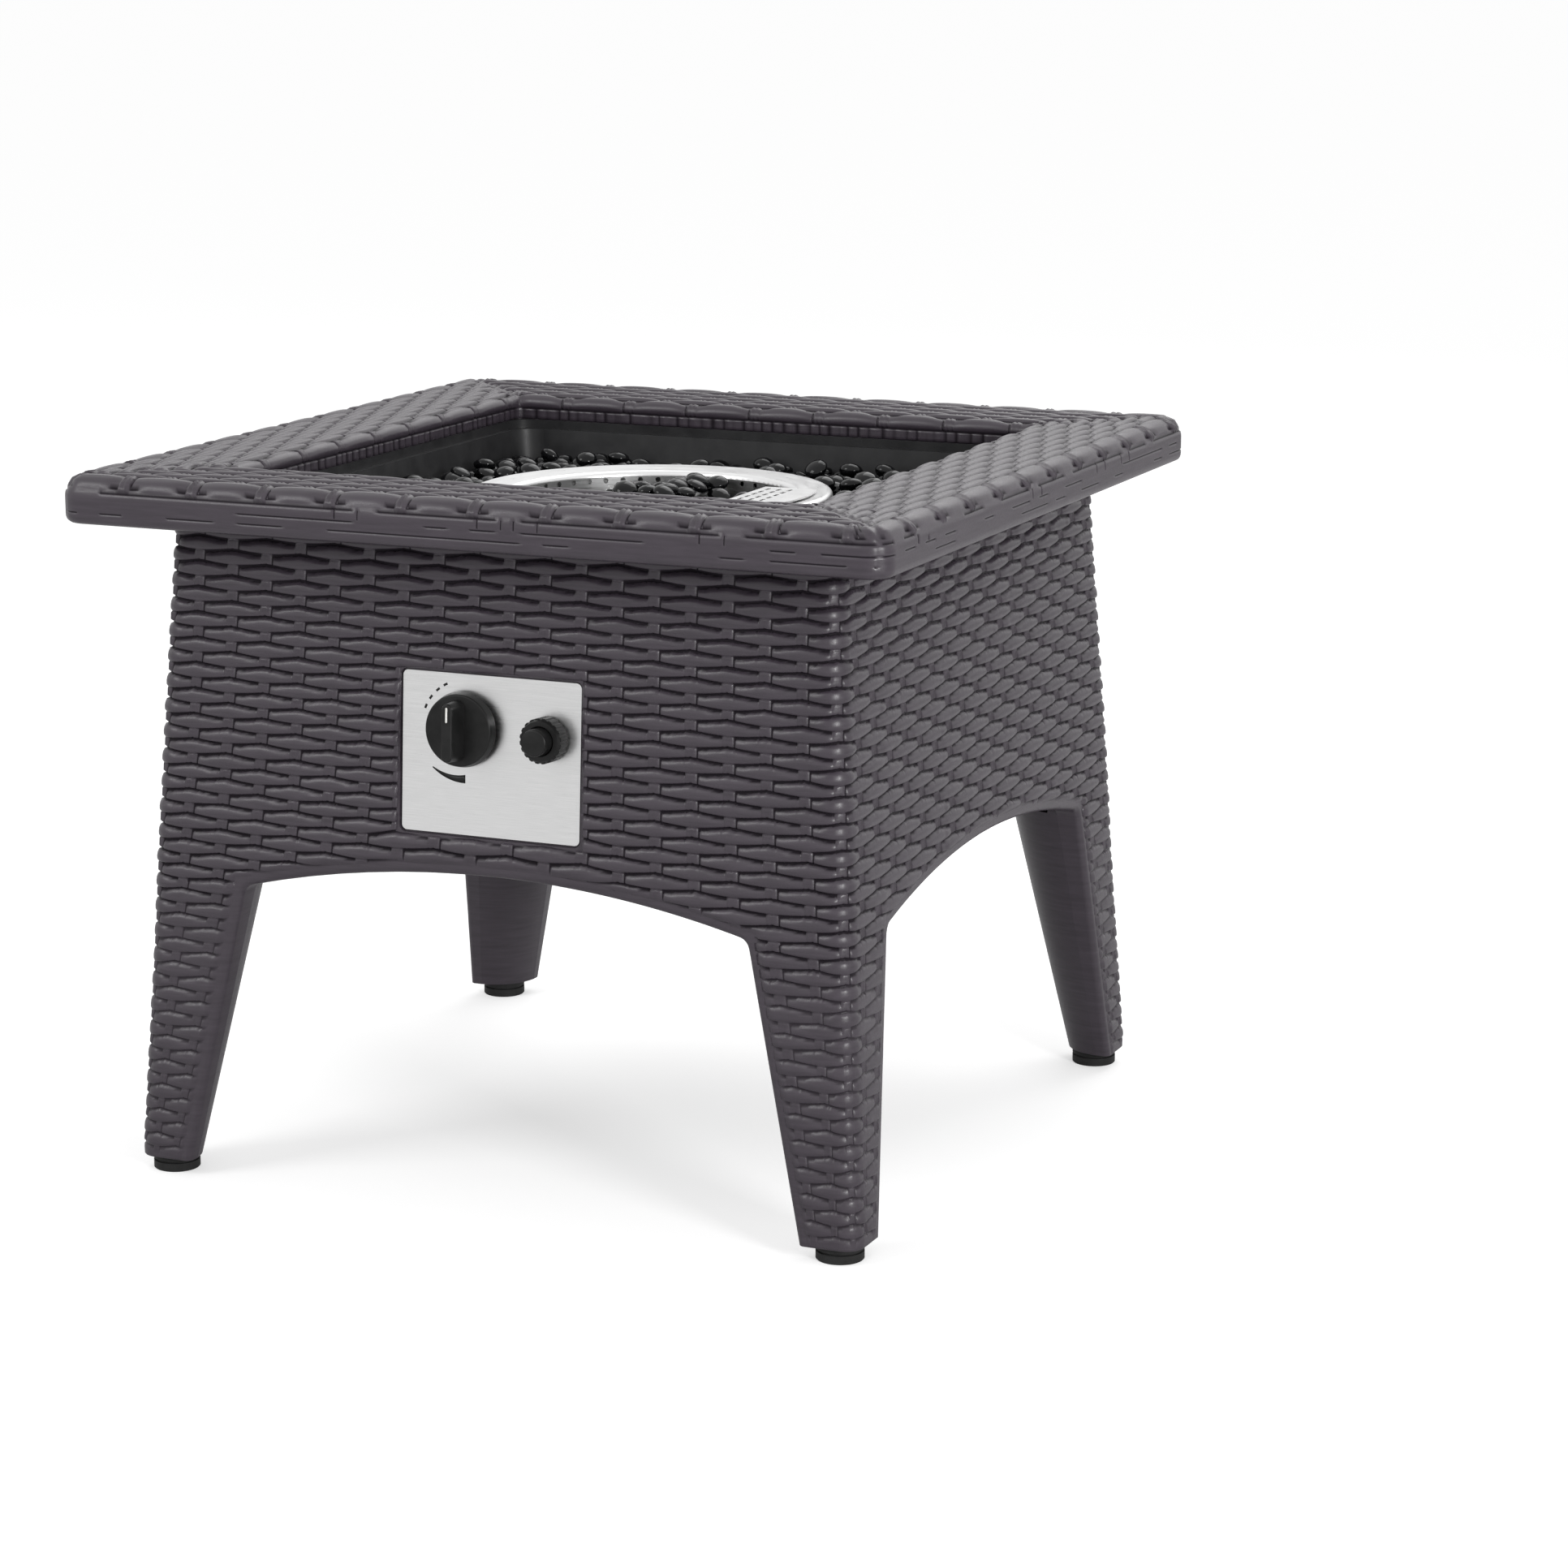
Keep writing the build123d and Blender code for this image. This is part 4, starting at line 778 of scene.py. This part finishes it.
MARK_THICKNESS = 0.12
DASHES = ((115.0, 120.5), (127.0, 132.5), (140.5, 146.0), (153.5, 159.0))
DASH_RADII = (34.0, 35.7)
WEDGE = (229.0, 271.0)
WEDGE_RADII = (39.0, 33.6, 39.8)


def make_panel_marks():
    """Printed marks of the knob: dashes on the way from off, and a wedge that grows to high."""
    front = (PANEL_FRONT, PANEL_FRONT + MARK_THICKNESS)
    strokes = [
        plate(arc_outline(a, b, lambda s: DASH_RADII[0], lambda s: DASH_RADII[1], 4), *front, panel_point)
        for a, b in DASHES
    ]
    thin, thick, rim = WEDGE_RADII
    wedge = arc_outline(*WEDGE, lambda s: thin + s * (thick - thin), lambda s: rim, 24)
    strokes.append(plate(wedge, *front, panel_point))
    return make_piece("panel_marks", *join_plates(strokes), "table", "black_plastic")


POINTER = (0.8, 8.5, 18.0)
POINTER_SINK = 0.2
CAP_STEPS = 5


def make_pointer():
    """White line let into the front of the knob's bar."""
    half, low, high = POINTER
    turns = [math.pi * n / CAP_STEPS for n in range(CAP_STEPS + 1)]
    cap = [(half * math.cos(turn), half * math.sin(turn)) for turn in turns]
    outline = [(KNOB[0] + x, KNOB[1] + high + y) for x, y in cap]
    outline += [(KNOB[0] - x, KNOB[1] + low - y) for x, y in cap]
    depths = (KNOB_BAR_FRONT - POINTER_SINK, KNOB_BAR_FRONT + MARK_THICKNESS)
    return make_piece("knob_pointer", *plate(outline, *depths, panel_point), "knob", "ceramic")


# Return springs


def make_coil(name, node):
    """A return spring, copied from its solid into a piece of its own that rides on the table."""
    mesh = frame["nodes"][node].data.copy()
    coil = add_piece(name, mesh, "table", "zinc_steel")
    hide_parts(node)
    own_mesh(coil)


# Glass beads

BEAD = (9.8, 5.5)
BEAD_PITCH = 18.2
BEAD_LAYERS = ((475.0, 0.0), (482.5, 0.5))
RING_SINK = 5.0
PAN_HALF = 219.0
PAN_CORNER = 20.0
RING = (112.0, 140.0)
SHIELD = (80.0, 38.0)
PIPE = (7.0, 487.7)
HUB = (17.0, 492.7)
BEAD_SIDES = (16, 8)
BEAD_ROWS = 14
BEAD_DRIFT = 2.2
BEAD_HEAVE = 2.5
PIPE_FALL = 7.0
LOOSE_BEADS = 220
LOOSE_RISE = 7.5
LOOSE_ABOVE = 4.0
LOOSE_APART = 1.9
BEAD_SIZES = (0.9, 1.06)
BEAD_FLATS = (0.85, 1.15)
BEAD_TIP = 0.28


def bead_clear(x, y, margin):
    """Whether a bead's middle keeps clear of the pan's wall, the ring and the shield."""
    limit = PAN_HALF - margin
    if max(abs(x), abs(y)) > limit:
        return False
    inner = limit - PAN_CORNER
    if min(abs(x), abs(y)) > inner and math.hypot(abs(x) - inner, abs(y) - inner) > PAN_CORNER:
        return False
    reach = math.hypot(x, y)
    if RING[0] - margin < reach < RING[1] + margin:
        return False
    return not (x > SHIELD[0] - margin and abs(y) < SHIELD[1] + margin and reach < RING[1])


def bead_rest(x, y, z):
    """Height of a bead's middle: lower inside the ring, but lifted by the feed pipe and its hub."""
    reach = math.hypot(x, y)
    if reach > RING[0]:
        return z
    z -= RING_SINK
    if abs(x) < PIPE[0] + BEAD[0]:
        z = max(z, PIPE[1] + 0.75 * BEAD[1] - PIPE_FALL * (x / (PIPE[0] + BEAD[0])) ** 2)
    if reach < HUB[0] + BEAD[0] / 2:
        z = max(z, HUB[1] + 0.6 * BEAD[1])
    return z


def bead_places(rng):
    """Middles of the beads: two jittered close layers over the bed, and loose beads on top of them."""
    places = []
    rise = BEAD_PITCH * math.sqrt(3) / 2
    for height, shift in BEAD_LAYERS:
        for row in range(-BEAD_ROWS, BEAD_ROWS + 1):
            for column in range(-BEAD_ROWS, BEAD_ROWS + 1):
                x = (column + 0.5 * (row % 2) + shift) * BEAD_PITCH + rng.uniform(-BEAD_DRIFT, BEAD_DRIFT)
                y = (row + 2 * shift / 3) * rise + rng.uniform(-BEAD_DRIFT, BEAD_DRIFT)
                level = height + rng.uniform(-BEAD_HEAVE, BEAD_HEAVE)
                rest = bead_rest(x, y, level)
                buried = height < BEAD_LAYERS[-1][0] and rest > level
                if bead_clear(x, y, BEAD[0] * 0.9) and not buried:
                    places.append((x, y, rest))
    top = BEAD_LAYERS[-1][0]
    apart = LOOSE_APART * BEAD[0]
    for x, y in rng.uniform(-PAN_HALF, PAN_HALF, (LOOSE_BEADS, 2)):
        crowd = [p for p in places if p[2] > top + LOOSE_ABOVE and math.hypot(p[0] - x, p[1] - y) < apart]
        if bead_clear(x, y, BEAD[0] + 1) and math.hypot(x, y) > RING[1] and not crowd:
            places.append((x, y, top + LOOSE_RISE + rng.uniform(-1, 1)))
    return places


def bead_shape():
    """Points and faces of one round flat bead, of radius and half height 1."""
    around, rings = BEAD_SIDES
    points = [(0, 0, -1)]
    for ring in range(1, rings):
        angle = math.pi * ring / rings
        for n in range(around):
            turn = 2 * math.pi * n / around
            wide = math.sin(angle)
            points.append((wide * math.cos(turn), wide * math.sin(turn), -math.cos(angle)))
    points.append((0, 0, 1))
    top = len(points) - 1
    faces = [(0, 1 + (n + 1) % around, 1 + n) for n in range(around)]
    for ring in range(rings - 2):
        low, high = 1 + ring * around, 1 + (ring + 1) * around
        faces += [(low + n, low + (n + 1) % around, high + (n + 1) % around, high + n) for n in range(around)]
    last = 1 + (rings - 2) * around
    faces += [(top, last + n, last + (n + 1) % around) for n in range(around)]
    return np.array(points, float), faces


def make_beads():
    """Oblate glass beads, each turned and tipped its own way."""
    rng = np.random.default_rng(21)
    shape, shape_faces = bead_shape()
    points, faces = [], []
    for x, y, z in bead_places(rng):
        size = rng.uniform(*BEAD_SIZES)
        flat = rng.uniform(*BEAD_FLATS)
        tip = rng.normal(0, BEAD_TIP, 2)
        spin = Matrix.Rotation(rng.uniform(0, 6.28), 3, "Z")
        turn = Matrix.Rotation(tip[0], 3, "X") @ Matrix.Rotation(tip[1], 3, "Y") @ spin
        scaled = shape * (BEAD[0] * size, BEAD[0] * size * rng.uniform(0.9, 1.0), BEAD[1] * flat * size)
        faces += [tuple(n + len(points) for n in face) for face in shape_faces]
        points += (scaled @ np.array(turn).T + (x, y, z)).tolist()
    beads = make_piece("glass_beads", points, faces, "table", "black_glass", repair=False)
    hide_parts("bead_bed")
    return beads


# Materials


def new_material(name, **sockets):
    """A principled material and its shader, with constants on the shader's own sockets."""
    made = bpy.data.materials.new(name)
    made.use_nodes = True
    shader = made.node_tree.nodes["Principled BSDF"]
    for socket, value in sockets.items():
        shader.inputs[socket.replace("_", " ").capitalize()].default_value = value
    return made, shader


def add_node(made, kind, links=(), **values):
    """A node of a material, with its inputs set by value or linked from (socket, output)."""
    node = made.node_tree.nodes.new(kind)
    for name, value in values.items():
        node.inputs[name.replace("_", " ")].default_value = value
    for name, output in links:
        made.node_tree.links.new(output, node.inputs[name])
    return node


def add_noise(made, scale, stretch=(1, 1, 1), detail=4.0, roughness=0.55):
    """Noise in the object's own metres, stretched along an axis."""
    place = made.node_tree.nodes.new("ShaderNodeTexCoord")
    mapping = add_node(made, "ShaderNodeMapping", [("Vector", place.outputs["Object"])], Scale=stretch)
    noise = add_node(made, "ShaderNodeTexNoise", [("Vector", mapping.outputs["Vector"])],
                     Scale=scale, Detail=detail, Roughness=roughness)
    return noise.outputs["Fac"]


def add_ramp(made, value, stops):
    """A colour for each of several values, and blends between them."""
    ramp = add_node(made, "ShaderNodeValToRGB", [("Fac", value)])
    elements = ramp.color_ramp.elements
    while len(elements) < len(stops):
        elements.new(0.5)
    for element, (place, colour) in zip(elements, stops):
        element.position = place
        element.color = (*colour, 1)
    return ramp.outputs["Color"]


def add_range(made, value, low, high, start=0.3, end=0.7):
    """A value spread from low to high."""
    node = add_node(made, "ShaderNodeMapRange", [("Value", value)])
    for name, number in (("From Min", start), ("From Max", end), ("To Min", low), ("To Max", high)):
        node.inputs[name].default_value = number
    return node.outputs["Result"]


def add_bump(made, shader, height, strength, distance):
    bump = add_node(made, "ShaderNodeBump", [("Height", height)], Strength=strength, Distance=distance)
    made.node_tree.links.new(bump.outputs["Normal"], shader.inputs["Normal"])


def connect(made, shader, **outputs):
    for socket, output in outputs.items():
        made.node_tree.links.new(output, shader.inputs[socket.replace("_", " ")])


def make_moulding():
    """Dark grey-violet moulded composite: faint streaks along the strands, and painted shade that darkens the
    gaps and dims their gloss.
    """
    made, shader = new_material("moulding")
    streaks = add_noise(made, 30.0, (1, 1, 12), 6.0)
    colour = add_ramp(made, streaks, [(0.3, (0.036, 0.0285, 0.0375)), (0.7, (0.051, 0.041, 0.053))])
    # painted shade: this mask darkens the colour and lowers the specular level down in the gaps of the weave
    gap = made.node_tree.nodes.new("ShaderNodeAttribute")
    gap.attribute_name = "groove_shade"
    shade = add_range(made, gap.outputs["Fac"], 1.0, 0.34, 0.1, 0.95)
    mix = add_node(made, "ShaderNodeVectorMath")
    mix.operation = "SCALE"
    made.node_tree.links.new(colour, mix.inputs[0])
    made.node_tree.links.new(shade, mix.inputs["Scale"])
    grain = add_noise(made, 900.0, (1, 1, 1), 3.0)
    gloss_with_gap_shade = add_range(made, gap.outputs["Fac"], 0.5, 0.05, 0.1, 0.9)
    fibres = add_noise(made, 260.0, (0.12, 0.12, 1), 5.0)
    connect(made, shader, Base_Color=mix.outputs["Vector"], Roughness=add_range(made, grain, 0.3, 0.42),
            Specular_IOR_Level=gloss_with_gap_shade)
    add_bump(made, shader, fibres, 0.3, 0.0005)
    return made


def make_enamel():
    """Satin black heat-resistant enamel, a little mottled."""
    made, shader = new_material("black_enamel")
    shader.inputs["Specular IOR Level"].default_value = 0.3
    mottle = add_noise(made, 60.0, (1, 1, 1), 5.0)
    colour = add_ramp(made, mottle, [(0.35, (0.017, 0.017, 0.018)), (0.65, (0.024, 0.024, 0.025))])
    grain = add_noise(made, 1400.0)
    connect(made, shader, Base_Color=colour, Roughness=add_range(made, mottle, 0.34, 0.46))
    add_bump(made, shader, grain, 0.1, 0.0002)
    return made


def make_metal(name, dark, light, rough, stretch, scale):
    """Bare metal with fine streaks in its colour, gloss and surface."""
    made, shader = new_material(name, metallic=1.0)
    streaks = add_noise(made, scale, stretch, 6.0, 0.65)
    connect(made, shader, Base_Color=add_ramp(made, streaks, [(0.3, dark), (0.7, light)]),
            Roughness=add_range(made, streaks, *rough))
    add_bump(made, shader, streaks, 0.05, 0.0002)
    return made


def make_plastic(name, dark, light, rough, scale, strength):
    """Black moulding with a fine grain and a little unevenness in its gloss."""
    made, shader = new_material(name)
    shader.inputs["Specular IOR Level"].default_value = 0.22
    clouds = add_noise(made, 90.0, (1, 1, 1), 5.0)
    grain = add_noise(made, scale, (1, 1, 1), 2.0)
    connect(made, shader, Base_Color=add_ramp(made, clouds, [(0.35, dark), (0.65, light)]),
            Roughness=add_range(made, clouds, *rough))
    add_bump(made, shader, grain, strength, 0.0002)
    return made


def make_glass():
    """Glossy black fire glass with a faint smoky unevenness."""
    made, shader = new_material("black_glass")
    smoke = add_noise(made, 45.0, (1, 1, 1), 3.0)
    colour = add_ramp(made, smoke, [(0.4, (0.002, 0.002, 0.0025)), (0.7, (0.008, 0.008, 0.009))])
    connect(made, shader, Base_Color=colour, Roughness=add_range(made, smoke, 0.03, 0.07))
    shader.inputs["Specular IOR Level"].default_value = 0.26
    return made


def make_ceramic():
    """White glazed ceramic, faintly clouded."""
    made, shader = new_material("ceramic")
    clouds = add_noise(made, 150.0)
    colour = add_ramp(made, clouds, [(0.3, (0.78, 0.77, 0.73)), (0.7, (0.86, 0.85, 0.82))])
    connect(made, shader, Base_Color=colour, Roughness=add_range(made, clouds, 0.2, 0.3))
    return made


# Dark and light colour, roughness from and to, stretch of the streaks and their scale
METALS = {
    "stainless": ((0.72, 0.72, 0.72), (0.82, 0.82, 0.82), (0.26, 0.36), (1, 1, 60), 40.0),
    "zinc_steel": ((0.48, 0.49, 0.5), (0.6, 0.61, 0.62), (0.3, 0.5), (1, 1, 1), 220.0),
    "die_cast": ((0.5, 0.5, 0.51), (0.62, 0.62, 0.63), (0.45, 0.6), (1, 1, 1), 600.0),
    "brass": ((0.52, 0.36, 0.13), (0.66, 0.49, 0.2), (0.22, 0.36), (1, 1, 20), 60.0),
}

# Dark and light colour, roughness from and to, scale of the grain and its strength
PLASTICS = {
    "black_plastic": ((0.009, 0.009, 0.009), (0.015, 0.015, 0.015), (0.32, 0.44), 1600.0, 0.12),
    "black_foot": ((0.016, 0.016, 0.016), (0.026, 0.026, 0.026), (0.5, 0.65), 1100.0, 0.2),
    "cell_wrap": ((0.06, 0.06, 0.07), (0.1, 0.1, 0.11), (0.25, 0.35), 300.0, 0.05),
}


def make_materials():
    """One finish for each slot of the record."""
    return {
        "moulding": make_moulding(),
        "black_enamel": make_enamel(),
        "black_glass": make_glass(),
        "ceramic": make_ceramic(),
        **{name: make_metal(name, *finish) for name, finish in METALS.items()},
        **{name: make_plastic(name, *finish) for name, finish in PLASTICS.items()},
    }


def dress(materials):
    """Gives every solid and every piece the finish of its slot."""
    for part in frame["record"]["subparts"]:
        node = frame["nodes"][part["node"]]
        node.data.materials.clear()
        node.data.materials.append(materials[part["material_slot"]])
    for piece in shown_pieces():
        if "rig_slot" in piece:
            piece.data.materials.clear()
            piece.data.materials.append(materials[piece["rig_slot"]])


# Stage, in metres and watts

FLOOR_REACH = 40.0
FLOOR_GLOW = 0.5
WORLD_LIGHT = 0.6
LAMP_AIM = (0, 0, 0.3)
LAMPS = {
    "key": ((-2.2, -2.6, 2.6), 1.6, 38),
    "front": ((2.8, -1.8, 1.1), 0.7, 46),
    "back": ((0.2, 2.2, 2.8), 2.4, 34),
}


def make_floor():
    """Plain white floor that keeps the table's shadow."""
    mesh = bpy.data.meshes.new("floor")
    corners = [(x * FLOOR_REACH, y * FLOOR_REACH, 0) for x, y in ((-1, -1), (1, -1), (1, 1), (-1, 1))]
    mesh.from_pydata(corners, [], [(0, 1, 2, 3)])
    add_object("floor", mesh)
    made, shader = new_material("floor", roughness=0.9)
    shader.inputs["Base Color"].default_value = (0.8, 0.8, 0.8, 1)
    shader.inputs["Specular IOR Level"].default_value = 0.0
    lights = made.node_tree.nodes.new("ShaderNodeLightPath")
    glow = add_node(made, "ShaderNodeMath", [(0, lights.outputs["Is Camera Ray"])])
    glow.operation = "MULTIPLY"
    glow.inputs[1].default_value = FLOOR_GLOW
    shader.inputs["Emission Color"].default_value = (1, 1, 1, 1)
    connect(made, shader, Emission_Strength=glow.outputs["Value"])
    mesh.materials.append(made)


def make_world():
    """White surroundings, a little dimmer as light than they look."""
    world = bpy.data.worlds.new("studio")
    bpy.context.scene.world = world
    world.use_nodes = True
    tree = world.node_tree
    back = tree.nodes["Background"]
    back.inputs["Color"].default_value = (1, 1, 1, 1)
    lights = tree.nodes.new("ShaderNodeLightPath")
    seen = tree.nodes.new("ShaderNodeMath")
    seen.operation = "MAXIMUM"
    tree.links.new(lights.outputs["Is Camera Ray"], seen.inputs[0])
    tree.links.new(lights.outputs["Is Glossy Ray"], seen.inputs[1])
    through = tree.nodes.new("ShaderNodeMath")
    through.operation = "MAXIMUM"
    tree.links.new(seen.outputs["Value"], through.inputs[0])
    tree.links.new(lights.outputs["Is Transmission Ray"], through.inputs[1])
    strength = tree.nodes.new("ShaderNodeMapRange")
    strength.inputs["To Min"].default_value = WORLD_LIGHT
    strength.inputs["To Max"].default_value = 1.0
    tree.links.new(through.outputs["Value"], strength.inputs["Value"])
    tree.links.new(strength.outputs["Result"], back.inputs["Strength"])


def add_lamp(name, place, size, power):
    """A soft square lamp that faces the table."""
    light = bpy.data.lights.new(name, "AREA")
    light.energy, light.size = power, size
    lamp = add_object(name, light)
    lamp.location = place
    lamp.rotation_euler = (Vector(LAMP_AIM) - Vector(place)).to_track_quat("-Z", "Y").to_euler()


def make_camera():
    camera = add_object("camera", bpy.data.cameras.new("camera"))
    camera.data.lens = CAMERA_LENS
    camera.data.clip_end = 100.0
    camera.location = Vector(CAMERA_PLACE) * MM
    camera.rotation_euler = (math.radians(90 - CAMERA_ELEVATION), 0, math.radians(CAMERA_AZIMUTH))
    bpy.context.scene.camera = camera


def make_stage():
    make_floor()
    make_world()
    for name, values in LAMPS.items():
        add_lamp(name, *values)
    make_camera()
    bpy.context.scene.view_settings.view_transform = "Standard"


make_base_shell()
make_base_weave()
make_rim_weave()
make_panel_marks()
make_pointer()
make_coil("stem_coil", "stem_spring")
make_coil("button_coil", "button_spring")
make_beads()
dress(make_materials())
make_stage()
